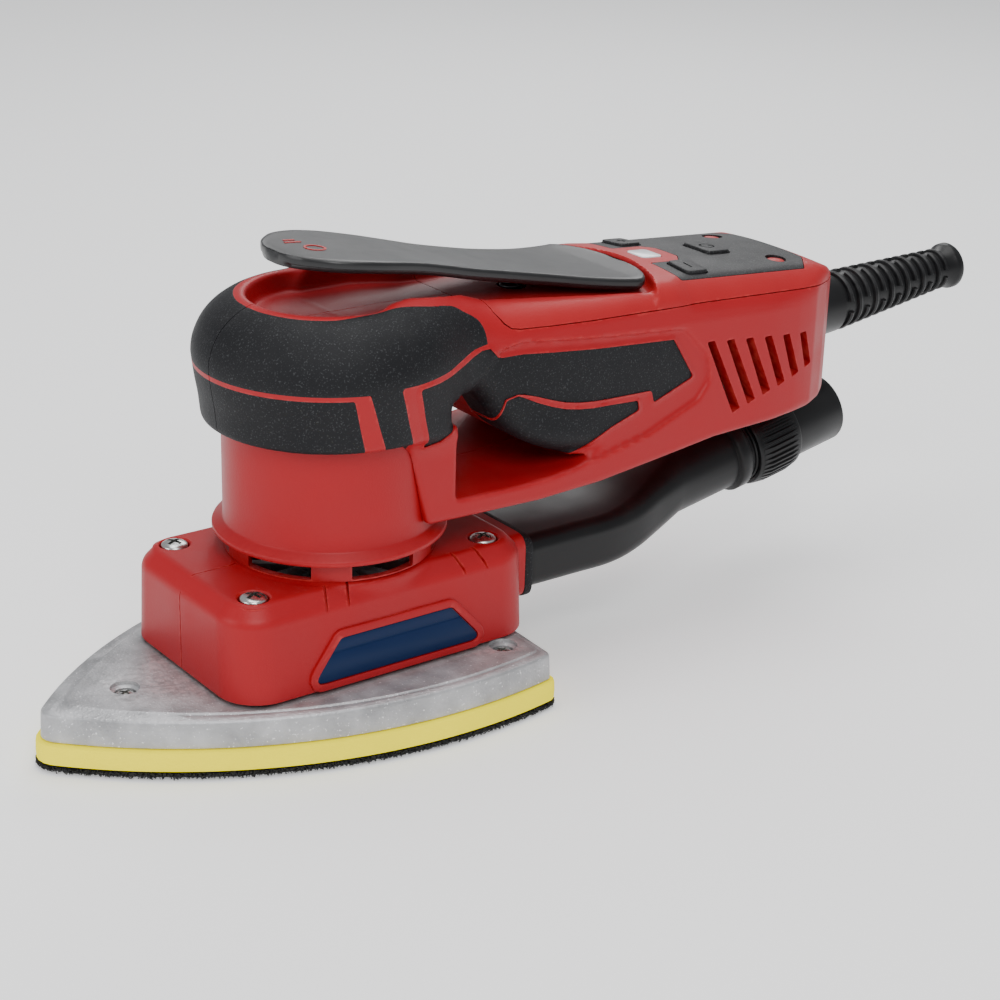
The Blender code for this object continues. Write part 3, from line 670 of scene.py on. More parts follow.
def shader_group(name: str, inputs: dict[str, tuple[str, Any]],
                 outputs: dict[str, str]) -> tuple[Tree, Graph, Any, Any]:
    """Starts a shader node group with named sockets.

    Args:
        name: The group's name.
        inputs: Socket name to its kind and default value.
        outputs: Socket name to its kind.

    Returns:
        The group, its graph, its input values and its output sockets.
    """
    group = bpy.data.node_groups.new(name, "ShaderNodeTree")
    for label, (kind, value) in inputs.items():
        socket = group.interface.new_socket(label, in_out="INPUT", socket_type=kind)
        if kind != "NodeSocketVector":
            socket.default_value = value
    for label, kind in outputs.items():
        group.interface.new_socket(label, in_out="OUTPUT", socket_type=kind)
    graph = Graph(group)
    return group, graph, graph.add("NodeGroupInput").outputs, graph.add("NodeGroupOutput").inputs


FLOAT, COLOUR, VECTOR = "NodeSocketFloat", "NodeSocketColor", "NodeSocketVector"
GROUPS: dict[str, Tree] = {}


def grain_group() -> Tree:
    """Height of a moulded or cast surface: round pits with a finer roughness over them."""
    group, graph, given, result = shader_group(
        "Surface grain", {"Vector": (VECTOR, None), "Grains per metre": (FLOAT, 2000.0), "Pits": (FLOAT, 0.5)},
        {"Height": FLOAT})
    fine = graph.noise(given["Vector"], given["Grains per metre"], 3.0)
    cells = graph.add("ShaderNodeTexVoronoi", feature="SMOOTH_F1")
    graph.put(given["Vector"], cells.inputs["Vector"])
    graph.put(given["Grains per metre"], cells.inputs["Scale"])
    pits = graph.math("MULTIPLY", cells.outputs["Distance"], given["Pits"])
    graph.put(graph.math("ADD", fine, pits), result["Height"])
    return group


def tone_group() -> Tree:
    """A colour that drifts a little over the surface, as moulded or cast material does."""
    group, graph, given, result = shader_group(
        "Tone drift", {"Vector": (VECTOR, None), "Colour": (COLOUR, (1, 1, 1, 1)), "Amount": (FLOAT, 0.1),
                       "Patches per metre": (FLOAT, 60.0)}, {"Colour": COLOUR, "Drift": FLOAT})
    broad = graph.noise(given["Vector"], given["Patches per metre"], 4.0)
    drift = graph.remap(broad, 0.3, 0.7, -1.0, 1.0)
    change = graph.math("ADD", graph.math("MULTIPLY", drift, given["Amount"]), 1.0)
    shade = graph.add("ShaderNodeHueSaturation")
    graph.put(given["Colour"], shade.inputs["Color"])
    graph.put(change, shade.inputs["Value"])
    graph.put(shade.outputs[0], result["Colour"])
    graph.put(drift, result["Drift"])
    return group


def speckle_group() -> Tree:
    """Small pale flecks, the light catching single grains of a matt surface."""
    group, graph, given, result = shader_group(
        "Pale flecks", {"Vector": (VECTOR, None), "Colour": (COLOUR, (0, 0, 0, 1)),
                        "Fleck colour": (COLOUR, (0.3, 0.3, 0.3, 1)), "Flecks per metre": (FLOAT, 2500.0),
                        "Share": (FLOAT, 0.1)}, {"Colour": COLOUR})
    noise = graph.noise(given["Vector"], given["Flecks per metre"], 1.0)
    edge = graph.math("SUBTRACT", 0.78, graph.math("MULTIPLY", given["Share"], 0.5))
    mask = graph.remap(noise, edge, graph.math("ADD", edge, 0.09))
    graph.put(graph.blend(mask, given["Colour"], given["Fleck colour"]), result["Colour"])
    return group


def wear_and_highlight_group() -> Tree:
    """Edges made lighter, partly rubbed wear and partly a painted highlight where a rounded edge would catch the
    light, broken up by noise, from the mesh's edge attribute.
    """
    group, graph, given, result = shader_group(
        "Edge wear", {"Vector": (VECTOR, None), "Colour": (COLOUR, (0, 0, 0, 1)),
                      "Worn colour": (COLOUR, (1, 1, 1, 1)), "Amount": (FLOAT, 0.4)},
        {"Colour": COLOUR, "Mask": FLOAT})
    fold = graph.add("ShaderNodeAttribute", attribute_name="edge")
    broken = graph.remap(graph.noise(given["Vector"], 500.0, 3.0), 0.35, 0.65)
    amount = graph.math("MULTIPLY", graph.math("MULTIPLY", fold.outputs["Fac"], broken), given["Amount"])
    graph.put(graph.blend(amount, given["Colour"], given["Worn colour"]), result["Colour"])
    graph.put(amount, result["Mask"])
    return group


def dust_group() -> Tree:
    """A thin pale film on faces that look up."""
    group, graph, given, result = shader_group(
        "Dust film", {"Vector": (VECTOR, None), "Colour": (COLOUR, (0, 0, 0, 1)),
                      "Dust colour": (COLOUR, (0.6, 0.58, 0.55, 1)), "Amount": (FLOAT, 0.05)},
        {"Colour": COLOUR, "Mask": FLOAT})
    facing = graph.add("ShaderNodeNewGeometry")
    split = graph.add("ShaderNodeSeparateXYZ")
    graph.put(facing.outputs["Normal"], split.inputs[0])
    upward = graph.remap(split.outputs["Z"], 0.3, 1.0)
    cloudy = graph.remap(graph.noise(given["Vector"], 140.0, 4.0), 0.4, 0.7, 0.3, 1.0)
    amount = graph.math("MULTIPLY", graph.math("MULTIPLY", upward, cloudy), given["Amount"])
    graph.put(graph.blend(amount, given["Colour"], given["Dust colour"]), result["Colour"])
    graph.put(amount, result["Mask"])
    return group


GROUP_MAKERS = {"grain": grain_group, "tone": tone_group, "flecks": speckle_group, "wear": wear_and_highlight_group,
                "dust": dust_group}


def place_group(graph: Graph, name: str, **values: Any) -> Node:
    """Places a shared shader group in a material and fills its inputs.

    Args:
        graph: The material's graph.
        name: Key of the group in GROUP_MAKERS.
        **values: Input label, with underscores for spaces, to its value or source.

    Returns:
        The group's node.
    """
    if name not in GROUPS:
        GROUPS[name] = GROUP_MAKERS[name]()
    node = graph.add("ShaderNodeGroup", node_tree=GROUPS[name])
    for label, value in values.items():
        graph.put(value, node.inputs[label.replace("_", " ")])
    return node


def set_values(node: Node, values: dict[str, Any]) -> None:
    """Sets a node's inputs by name."""
    for label, value in values.items():
        node.inputs[label].default_value = value


Colour = tuple[float, float, float]


@dataclass(frozen=True)
class Finish:
    """A moulded, cast or ground surface, with its grain, drift, flecks, edge wear with a painted edge highlight,
    dust, and a painted glow where one is given.
    """

    name: str
    slot: str
    colour: Colour
    roughness: float
    metallic: float = 0.0
    grain_mm: float = 0.5
    relief_mm: float = 0.01
    pits: float = 0.4
    drift: float = 0.05
    patch_mm: float = 16.0
    fleck: Colour = (0.3, 0.3, 0.3)
    fleck_share: float = 0.0
    # The edge colour and amount below lighten outward folds: partly rubbed wear, partly a painted highlight where a
    # rounded edge would catch the light.
    worn: Colour = (0.7, 0.5, 0.5)
    wear: float = 0.0
    dust: float = 0.02
    coat: float = 0.0
    specular: float = 0.5
    # Painted glow: emission in the finish's own colour, brightening a surface that is no lamp.
    painted_glow: float = 0.0

    def material(self) -> bpy.types.Material:
        """Returns the finish's material, made once."""
        made = bpy.data.materials.get(self.name)
        if made:
            return made
        made = bpy.data.materials.new(self.name)
        made.use_nodes = True
        graph = Graph(made.node_tree)
        shader = made.node_tree.nodes["Principled BSDF"]
        place = graph.add("ShaderNodeTexCoord").outputs["Object"]
        tone = place_group(graph, "tone", Vector=place, Colour=(*self.colour, 1.0), Amount=self.drift,
                           Patches_per_metre=1000.0 / self.patch_mm)
        colour = tone.outputs["Colour"]
        if self.fleck_share:
            colour = place_group(graph, "flecks", Vector=place, Colour=colour, Fleck_colour=(*self.fleck, 1.0),
                                 Flecks_per_metre=1000.0 / self.grain_mm, Share=self.fleck_share).outputs["Colour"]
        roughness = graph.remap(tone.outputs["Drift"], -1.0, 1.0, self.roughness - 0.05, self.roughness + 0.05)
        # Outward edges lightened: partly rubbed wear, partly a painted highlight standing in for light caught on
        # rounded edges.
        if self.wear:
            worn = place_group(graph, "wear", Vector=place, Colour=colour, Worn_colour=(*self.worn, 1.0),
                               Amount=self.wear)
            colour = worn.outputs["Colour"]
            roughness = graph.math("SUBTRACT", roughness, graph.math("MULTIPLY", worn.outputs["Mask"], 0.15), True)
        if self.dust:
            film = place_group(graph, "dust", Vector=place, Colour=colour, Amount=self.dust)
            colour = film.outputs["Colour"]
            roughness = graph.math("ADD", roughness, graph.math("MULTIPLY", film.outputs["Mask"], 0.5), True)
        grain = place_group(graph, "grain", Vector=place, Grains_per_metre=1000.0 / self.grain_mm, Pits=self.pits)
        bump = graph.add("ShaderNodeBump")
        bump.inputs["Distance"].default_value = self.relief_mm * MM
        graph.put(grain.outputs["Height"], bump.inputs["Height"])
        graph.put(colour, shader.inputs["Base Color"])
        graph.put(roughness, shader.inputs["Roughness"])
        graph.put(bump.outputs["Normal"], shader.inputs["Normal"])
        set_values(shader, {"Metallic": self.metallic, "Coat Weight": self.coat,
                            "Specular IOR Level": self.specular})
        # Painted glow: the surface gives off light in its own colour.
        if self.painted_glow:
            set_values(shader, {"Emission Color": (*self.colour, 1.0), "Emission Strength": self.painted_glow})
        return made


RED = Finish("red moulded plastic", "red_plastic", (0.355, 0.0045, 0.009), 0.44, grain_mm=0.5, relief_mm=0.04,
             drift=0.03, worn=(0.58, 0.05, 0.045), wear=0.6, dust=0.008, specular=0.3)
COARSE_RED = Finish("red textured plastic", "red_plastic", (0.38, 0.008, 0.011), 0.48, grain_mm=0.6, relief_mm=0.04,
                    pits=0.8, drift=0.03, worn=(0.58, 0.05, 0.045), wear=0.6, dust=0.01, specular=0.35)
RUBBER = Finish("soft black rubber", "black_rubber", (0.0055, 0.0057, 0.0072), 0.58, grain_mm=0.5, relief_mm=0.06,
                pits=0.8, drift=0.1, fleck=(0.034, 0.035, 0.038), fleck_share=0.34, worn=(0.03, 0.03, 0.032),
                wear=0.4, dust=0.01, specular=0.24)
BLACK = Finish("black moulded plastic", "black_plastic", (0.004, 0.004, 0.0046), 0.38, grain_mm=0.5,
               relief_mm=0.012, drift=0.1, worn=(0.05, 0.05, 0.052), wear=0.4, dust=0.012, specular=0.3)
SATIN = Finish("satin black plastic", "black_plastic", (0.009, 0.009, 0.0098), 0.34, grain_mm=0.35,
               relief_mm=0.006, drift=0.08, worn=(0.07, 0.07, 0.072), wear=0.5, dust=0.03)
PANEL = Finish("speckled panel plastic", "black_plastic", (0.008, 0.008, 0.009), 0.5, grain_mm=0.45,
               relief_mm=0.03, pits=0.9, fleck=(0.05, 0.05, 0.053), fleck_share=0.4, dust=0.01, specular=0.36)
CAST = Finish("raw cast aluminium", "cast_aluminium", (0.44, 0.44, 0.45), 0.5, 0.75, grain_mm=0.8,
              relief_mm=0.1, pits=0.9, drift=0.24, patch_mm=9.0, fleck=(0.75, 0.75, 0.76), fleck_share=0.24,
              worn=(0.85, 0.85, 0.86), wear=0.7, dust=0.0)
STEEL = Finish("plated steel", "steel", (0.60, 0.60, 0.58), 0.28, 1.0, grain_mm=0.3, relief_mm=0.004,
               drift=0.08, patch_mm=4.0, dust=0.0)
SPRING = Finish("spring steel", "steel", (0.05, 0.05, 0.055), 0.4, 1.0, grain_mm=0.3, relief_mm=0.003, dust=0.0)
COPPER = Finish("enamelled copper", "copper_wire", (0.55, 0.17, 0.06), 0.35, 0.9, grain_mm=0.6, relief_mm=0.08,
                drift=0.15, dust=0.0)
# The foam carries a painted glow that makes it brighter.
FOAM = Finish("yellow foam", "yellow_foam", (1.0, 0.86, 0.012), 0.85, grain_mm=0.6, relief_mm=0.05, pits=1.0,
              drift=0.03, dust=0.0, specular=0.12, painted_glow=0.16)
HOOKS = Finish("black hook cloth", "hook_cloth", (0.008, 0.008, 0.009), 0.85, grain_mm=0.4, relief_mm=0.05,
               drift=0.2, dust=0.0, specular=0.25)
BRISTLE = Finish("black hook bristle", "hook_cloth", (0.010, 0.010, 0.011), 0.6, grain_mm=0.2, relief_mm=0.002,
                 drift=0.2, dust=0.0)
NAVY = Finish("navy plate", "navy_plate", (0.0012, 0.013, 0.058), 0.36, grain_mm=0.4, relief_mm=0.002, drift=0.03,
              dust=0.004, specular=0.2)
BOARD = Finish("green laminate", "circuit_board", (0.01, 0.10, 0.035), 0.4, grain_mm=1.2, relief_mm=0.01,
               drift=0.1, fleck=(0.6, 0.5, 0.2), fleck_share=0.1, dust=0.0)
LENS = Finish("milky lens", "white_lens", (0.78, 0.80, 0.82), 0.25, grain_mm=0.9, relief_mm=0.01, drift=0.05,
              dust=0.0, coat=0.5)
MARK = Finish("red print", "red_plastic", (0.42, 0.012, 0.012), 0.5, grain_mm=0.4, relief_mm=0.006, dust=0.02)


def fit(obj: Piece, finish: Finish, body: str, *nodes: str, smooth: float = 35.0) -> Piece:
    """Dresses a finished piece and makes it ride on its body, in place of its plain nodes.

    Args:
        obj: The finished mesh.
        finish: The finish of its whole surface.
        body: The body it rides on.
        *nodes: The plain nodes it stands for.
        smooth: Edges sharper than this, in degrees, stay sharp.

    Returns:
        The same object.
    """
    obj.data.materials.clear()
    obj.data.materials.append(finish.material())
    obj.data.shade_smooth()
    obj.data.set_sharp_from_angle(angle=math.radians(smooth))
    mark_edges(obj)
    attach(obj, body)
    if nodes:
        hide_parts(*nodes)
    LOG.info("%s: %d faces", obj.name, len(obj.data.polygons))
    return obj


# ---- geometry node trees


class GeometryTree:
    """A geometry node tree that is built once and run on an object with its own input values."""

    def __init__(self, name: str, inputs: dict[str, tuple[str, Any]]) -> None:
        """Starts the tree.

        Args:
            name: The tree's name.
            inputs: Socket label to its kind and default value.
        """
        self.tree = bpy.data.node_groups.new(name, "GeometryNodeTree")
        self.tree.interface.new_socket("Geometry", in_out="INPUT", socket_type="NodeSocketGeometry")
        self.labels: dict[str, str] = {}
        for label, (kind, value) in inputs.items():
            socket = self.tree.interface.new_socket(label, in_out="INPUT", socket_type=kind)
            if value is not None:
                socket.default_value = value
            self.labels[label] = socket.identifier
        material = self.tree.interface.new_socket("Material", in_out="INPUT", socket_type="NodeSocketMaterial")
        self.labels["Material"] = material.identifier
        self.tree.interface.new_socket("Geometry", in_out="OUTPUT", socket_type="NodeSocketGeometry")
        self.graph = Graph(self.tree)
        self.source = self.graph.add("NodeGroupInput")

    def node(self, kind: str, values: dict[Any, Any] | None = None, **settings: Any) -> Node:
        """Adds a node, sets its settings and fills its inputs.

        Args:
            kind: The node's type name.
            values: Input name or index to a value or a source socket.
            **settings: The node's own properties.

        Returns:
            The node.
        """
        made = self.graph.add(kind, **settings)
        for key, value in (values or {}).items():
            self.graph.put(value, made.inputs[key])
        return made

    def vector(self, x: Any = 0.0, y: Any = 0.0, z: Any = 0.0) -> Socket:
        """Adds a vector of three values."""
        return self.node("ShaderNodeCombineXYZ", {"X": x, "Y": y, "Z": z}).outputs[0]

    def moved(self, mesh: Socket, **how: Any) -> Socket:
        """Adds a Transform node and returns its geometry."""
        return self.node("GeometryNodeTransform", {"Geometry": mesh, **how}).outputs[0]

    def scatter(self, points: Socket, shape: Socket, **how: Any) -> "GeometryTree":
        """Sets the shape on each point and ends the tree.

        Args:
            points: The points.
            shape: The shape to repeat.
            **how: Rotation and Scale.

        Returns:
            The tree itself.
        """
        placed = self.node("GeometryNodeInstanceOnPoints", {"Points": points, "Instance": shape, **how})
        self.end(placed.outputs[0])
        return self

    def end(self, instances: Socket) -> None:
        """Ends the tree in Realize Instances and Set Material."""
        real = self.node("GeometryNodeRealizeInstances", {"Geometry": instances})
        dressed = self.node("GeometryNodeSetMaterial", {"Geometry": real.outputs[0],
                                                        "Material": self.source.outputs["Material"]})
        sink = self.graph.add("NodeGroupOutput")
        self.graph.put(dressed.outputs[0], sink.inputs[0])

    def run(self, name: str, points: Sequence[Sequence[float]] | Piece, finish: Finish,
            **values: Any) -> Piece:
        """Runs the tree and returns its result as a plain mesh object.

        Args:
            name: Name of the new object.
            points: Places in millimetres, one for each instance, or a mesh object that the tree reads.
            finish: The finish that Set Material gives.
            **values: Input label, with underscores for spaces, to its value.

        Returns:
            The new object.
        """
        if isinstance(points, Piece):
            obj = points
            obj.name = name
        else:
            obj = mesh_object(name, np.array(points, float) * MM, [])
        modifier = obj.modifiers.new("Nodes", "NODES")
        modifier.node_group = self.tree
        for label, value in {**values, "Material": finish.material()}.items():
            modifier[self.labels[label.replace("_", " ")]] = value
        return bake(obj)


def screw_tree() -> GeometryTree:
    """Screw heads: a domed head with a cross recess, at each point, standing along +Z."""
    tree = GeometryTree("cross screws", {"Radius": (FLOAT, 0.004), "Height": (FLOAT, 0.002),
                                         "Slot width": (FLOAT, 0.001), "Turn": (FLOAT, 0.4)})
    radius, height = tree.source.outputs["Radius"], tree.source.outputs["Height"]
    slot = tree.source.outputs["Slot width"]
    graph = tree.graph
    half = graph.math("MULTIPLY", height, 0.5)
    skirt = tree.node("GeometryNodeMeshCylinder", {"Vertices": 32, "Radius": radius, "Depth": height})
    skirt_low = tree.moved(skirt.outputs["Mesh"], Translation=tree.vector(z=graph.math("MULTIPLY", half, -1.0)))
    ball = tree.node("GeometryNodeMeshUVSphere", {"Segments": 32, "Rings": 16, "Radius": radius})
    dome = tree.moved(ball.outputs["Mesh"], Scale=tree.vector(1.0, 1.0, graph.math("DIVIDE", half, radius)))
    head = tree.node("GeometryNodeMeshBoolean", operation="UNION", solver="EXACT")
    graph.put(skirt_low, head.inputs["Mesh 2"])
    graph.put(dome, head.inputs["Mesh 2"])
    arm = graph.math("MULTIPLY", radius, 1.25)
    recess = tree.node("GeometryNodeMeshBoolean", operation="DIFFERENCE", solver="EXACT")
    graph.put(head.outputs["Mesh"], recess.inputs["Mesh 1"])
    for size in ((arm, slot, height), (slot, arm, height)):
        bar = tree.node("GeometryNodeMeshCube", {"Size": tree.vector(*size)})
        graph.put(bar.outputs["Mesh"], recess.inputs["Mesh 2"])
    return tree.scatter(tree.source.outputs["Geometry"], recess.outputs["Mesh"],
                        Rotation=tree.vector(z=tree.source.outputs["Turn"]))


def knurl_tree() -> GeometryTree:
    """Straight ribs round an upright cylinder, each a low bar with a narrow crest."""
    tree = GeometryTree("knurl ribs", {"Count": ("NodeSocketInt", 40), "Radius": (FLOAT, 0.014),
                                       "Length": (FLOAT, 0.018), "Rib width": (FLOAT, 0.0012),
                                       "Rib height": (FLOAT, 0.0006)})
    out = tree.source.outputs
    graph = tree.graph
    ring = tree.node("GeometryNodeMeshCircle", {"Vertices": out["Count"], "Radius": out["Radius"]})
    bar = tree.node("GeometryNodeMeshCone", {"Vertices": 4, "Depth": out["Rib height"],
                                             "Radius Top": graph.math("MULTIPLY", out["Rib width"], 0.4),
                                             "Radius Bottom": graph.math("MULTIPLY", out["Rib width"], 0.72)})
    square = tree.moved(bar.outputs["Mesh"], Rotation=(0.0, 0.0, math.pi / 4))
    stretch = graph.math("DIVIDE", out["Length"], out["Rib width"])
    upright = tree.moved(tree.moved(square, Scale=tree.vector(stretch, 1.0, 1.0)), Rotation=(0.0, math.pi / 2, 0.0))
    place = tree.node("GeometryNodeInputPosition")
    aim = tree.node("FunctionNodeAlignEulerToVector", {"Vector": place.outputs[0]}, axis="X", pivot_axis="Z")
    return tree.scatter(ring.outputs["Mesh"], upright, Rotation=aim.outputs[0])


def boot_rib_tree() -> GeometryTree:
    """Rings of two arcs each along an upright taper, every other ring turned a quarter."""
    tree = GeometryTree("boot ribs", {"Count": ("NodeSocketInt", 12), "Pitch": (FLOAT, 0.004),
                                      "First radius": (FLOAT, 0.011), "Last radius": (FLOAT, 0.008),
                                      "Thickness": (FLOAT, 0.0011), "Sweep": (FLOAT, 2.6)})
    out = tree.source.outputs
    graph = tree.graph
    line = tree.node("GeometryNodeMeshLine", {"Count": out["Count"], "Offset": tree.vector(z=out["Pitch"])})
    arcs = []
    for start in (0.0, math.pi):
        angle = graph.math("SUBTRACT", start, graph.math("MULTIPLY", out["Sweep"], 0.5))
        arcs.append(tree.node("GeometryNodeCurveArc", {"Resolution": 28, "Radius": 1.0, "Start Angle": angle,
                                                       "Sweep Angle": out["Sweep"]}))
    both = tree.node("GeometryNodeJoinGeometry")
    for one in arcs:
        graph.put(one.outputs["Curve"], both.inputs[0])
    section = tree.node("GeometryNodeCurvePrimitiveCircle", {"Resolution": 8,
                                                             "Radius": graph.math("DIVIDE", out["Thickness"],
                                                                                  out["First radius"])})
    rib = tree.node("GeometryNodeCurveToMesh", {"Curve": both.outputs[0], "Profile Curve": section.outputs[0],
                                                "Fill Caps": True})
    index = tree.node("GeometryNodeInputIndex")
    last = graph.math("SUBTRACT", out["Count"], 1.0)
    size = graph.remap(index.outputs[0], 0.0, last, out["First radius"], out["Last radius"])
    odd = graph.math("MODULO", index.outputs[0], 2.0)
    spin = tree.vector(z=graph.math("MULTIPLY", odd, math.pi / 2))
    return tree.scatter(line.outputs["Mesh"], rib.outputs["Mesh"], Rotation=spin, Scale=size)


def hook_tree() -> GeometryTree:
    """Short bent hooks that stand out of a surface, spread with a fixed seed."""
    tree = GeometryTree("hook bristles", {"Density": (FLOAT, 600000.0), "Height": (FLOAT, 0.002),
                                          "Thickness": (FLOAT, 0.00012), "Seed": ("NodeSocketInt", 7)})
    out = tree.source.outputs
    graph = tree.graph
    spread = tree.node("GeometryNodeDistributePointsOnFaces", {"Mesh": out["Geometry"], "Density": out["Density"],
                                                               "Seed": out["Seed"]})
    stem = tree.node("GeometryNodeCurvePrimitiveBezierSegment",
                     {"Resolution": 4, "Start": (0.0, 0.0, 0.0), "Start Handle": (0.0, 0.0, 0.7),
                      "End Handle": (0.15, 0.0, 1.15), "End": (0.45, 0.0, 0.82)})
    section = tree.node("GeometryNodeCurvePrimitiveCircle", {"Resolution": 3,
                                                             "Radius": graph.math("DIVIDE", out["Thickness"],
                                                                                  out["Height"])})
    hook = tree.node("GeometryNodeCurveToMesh", {"Curve": stem.outputs[0], "Profile Curve": section.outputs[0],
                                                 "Fill Caps": True})
    spin = tree.node("FunctionNodeRandomValue", {2: 0.0, 3: 2 * math.pi, "Seed": 3})
    aim = tree.node("FunctionNodeRotateEuler", {"Rotation": spread.outputs["Rotation"],
                                                "Rotate By": tree.vector(z=spin.outputs[1])}, space="LOCAL")
    size = tree.node("FunctionNodeRandomValue", {2: 0.75, 3: 1.15, "Seed": 5})
    scale = graph.math("MULTIPLY", size.outputs[1], out["Height"])
    return tree.scatter(spread.outputs["Points"], hook.outputs["Mesh"], Rotation=aim.outputs[0], Scale=scale)


# ---- the body


class Side(Enum):
    """The two halves of everything that the parting plane splits."""

    LEFT = "left"
    RIGHT = "right"


def halves(left: Piece, name: str, finish: Finish, body: str = "housing") -> list[Piece]:
    """Names a left piece and its mirror image, dresses them and puts them in place of their nodes."""
    right = mirror_y(left, f"{name}_{Side.RIGHT.value}_skin")
    left.name = f"{name}_{Side.LEFT.value}_skin"
    for obj, side in ((left, Side.LEFT), (right, Side.RIGHT)):
        fit(obj, finish, body, f"{name}_{side.value}")
    return [left, right]


def both_sides(half: Piece, name: str) -> Piece:
    """Joins a half that was cut at y = 0 to its mirror image, without the cut face between them."""
    other = mirror_y(half, "other")
    made = merged(name, [half, other])
    bm = bmesh.new()
    bm.from_mesh(made.data)
    caps = [face for face in bm.faces if all(abs(vertex.co.y) < 1e-7 for vertex in face.verts)]
    bmesh.ops.delete(bm, geom=caps, context="FACES")
    bmesh.ops.remove_doubles(bm, verts=[v for v in bm.verts if abs(v.co.y) < 1e-7], dist=2e-6)
    bm.to_mesh(made.data)
    bm.free()
    return made


CROWN = 360.0  # twice the radius to which the panel is crowned


@dataclass
class BodyForm:
    """The body's outer form: head, neck, tail and rail joined into one smooth field."""

    head: Outline = field(default_factory=lambda: [
        (-8, 90.2), (36.8, 90.2), (37.8, 91.2), (38.2, 94.0), (38.6, 97.7), (39.5, 103.0), (40.2, 108.5),
        (40.3, 111.0), (39.6, 114.5), (37.6, 118.8), (34.8, 122.2), (31.2, 124.9), (28.4, 126.3), (26.4, 127.0),
        (25.0, 127.0), (24.2, 126.3), (23.6, 124.0), (22.6, 121.4), (20.5, 120.7), (-8, 120.7)])
    side: Outline = field(default_factory=lambda: [
        (6.0, 90.4), (6.0, 131.0), (170.0, 131.0), (176.5, 117.6), (181.2, 113.6), (184.6, 109.6), (188.0, 105.0),
        (190.6, 101.0), (191.8, 94.0), (190.4, 86.0), (186.8, 76.0), (183.4, 68.8), (170.0, 68.4), (126.0, 66.8),
        (100.0, 63.6), (79.0, 61.2), (55.0, 60.2), (14.0, 61.2)])
    plan: Outline = field(default_factory=lambda: [
        (-60, 34), (148, 34), (160, 31.9), (169, 29.6), (177, 25.6), (183, 21), (188, 12), (190.4, 4),
        (190.4, -4), (188, -12), (183, -21), (177, -25.6), (169, -29.6), (160, -31.9), (148, -34), (-60, -34)])
    opening: Outline = field(default_factory=lambda: [
        (24.0, 67.3), (24.0, 95.6), (35.6, 96.0), (38.8, 92.4), (42.2, 87.2), (46.6, 82.6), (51.5, 78.9),
        (57.0, 75.8), (63.0, 73.2), (69.5, 71.3), (76.0, 70.4), (70.0, 68.4), (60.0, 67.2), (48.0, 66.7)])
    step: Outline = field(default_factory=lambda: [
        (35.4, 83.3), (50.4, 75.5), (65.9, 70.2), (77.7, 69.5), (97.4, 73.5), (117.5, 81.1), (122.0, 86.9),
        (120.3, 95.5), (110.5, 105.5), (82.0, 108.0), (49.0, 111.0), (42.0, 109.6), (32.0, 98.6)])
    channel: Outline = field(default_factory=lambda: [
        (0.0, 21.6), (20.0, 21.6), (28.0, 19.6), (35.0, 17.0), (45.0, 16.4), (60.0, 17.6), (75.0, 20.2),
        (90.0, 23.6), (99.0, 26.0), (101.4, 25.4), (104.2, 20.0), (106.2, 15.0), (107.6, 10.0), (108.5, 5.0)])
    step_depth: float = 1.1
    cell: float = 0.85

    def __post_init__(self) -> None:
        """Makes the flat fields and samples the form."""
        self.head_field = FlatField([*self.head[:1], *spline(self.head[1:-1], 5), self.head[-1]], 0.25)
        self.side_field = FlatField(rounded(self.side, 2.0, 3), margin=46.0)
        self.plan_field = FlatField(self.plan, 0.6)
        self.opening_field = FlatField(rounded(self.opening, 1.6, 4), 0.3, 30.0)
        self.step_field = FlatField(rounded(self.step, 4.0, 5), 0.3, 6.0)
        self.channel_field = FlatField([*self.channel, (108.8, 0.0), *mirrored(self.channel)], 0.3, 8.0)
        self.skin = Skin(self.solid, (-42.5, -42.5, 56.0), (194.0, 1.4, 130.0), self.cell)

    def half_width(self, x: Array, z: Array) -> Array:
        """Half width of the neck, tail and rail at each x and z."""
        neck = np.interp(x, [0, 30, 40, 60, 75], [27.4, 27.4, 28.6, 31.0, 32.0])
        start = 76.0 + 16.0 * smoothstep((34.0 - x) / 9.0)
        width = 32.0 + (neck - 32.0) * smoothstep((z - start) / 12.0)
        ridge = 107.2 - 0.045 * (x - 113.0)
        width = width - 0.16 * np.maximum(z - ridge, 0.0)
        return width - self.step_depth * smoothstep(0.5 - self.step_field(x, z) / 1.1)

    @staticmethod
    def top_height(x: Array, y: Array) -> Array:
        """Height of the upper surface: the rims beside the lever, then the panel behind it."""
        rim = np.interp(x, [0, 20, 34, 44, 60, 80, 100], [127, 126.5, 124.5, 121.8, 120.2, 118.8, 118.0])
        panel = 121.1 - 0.0762 * (x - 116.0) - y * y / CROWN
        behind = smoothstep((x - (109.4 - 0.0113 * y * y)) / 1.2 + 0.5)
        return rim + (panel - rim) * behind

    @staticmethod
    def floor_height(x: Array) -> Array:
        """Height of the lever channel's floor."""
        return np.interp(x, [0, 20, 42, 60, 88, 108], [120.7, 120.6, 119.6, 119.0, 117.0, 116.2])

    def solid(self, points: Array) -> Array:
        """Distance to the body's surface, in millimetres, negative inside."""
        x, y, z = points[:, 0], np.abs(points[:, 1]), points[:, 2]
        radius = np.hypot(x, y)
        head = self.head_field(radius, z)
        shoulder = np.interp(x, [20, 45, 60, 108, 114], [9.0, 9.0, 7.0, 5.0, 8.5])
        section = round_max(y - self.half_width(x, z), (z - self.top_height(x, y)) * 0.96, shoulder)
        tail = round_max(section, self.side_field(x, z), np.interp(x, [150, 175], [1.6, 5.0]))
        tail = round_max(tail, self.plan_field(x, y), 2.0)
        body = smooth_min(head, tail, 9.0)
        channel = round_max(self.channel_field(x, y), self.floor_height(x) - z, 1.6)
        body = round_max(body, -channel, 0.8)
        belly = smoothstep((x - 36.0) / 6.0) * smoothstep((z - 69.5) / 4.0)
        edge = 1.2 + 6.3 * np.maximum(belly, smoothstep((z - 88.0) / 4.0))
        return round_max(body, -self.opening_field(x, z), edge)


LEFT_OF = -0.15
FAR = -46.0


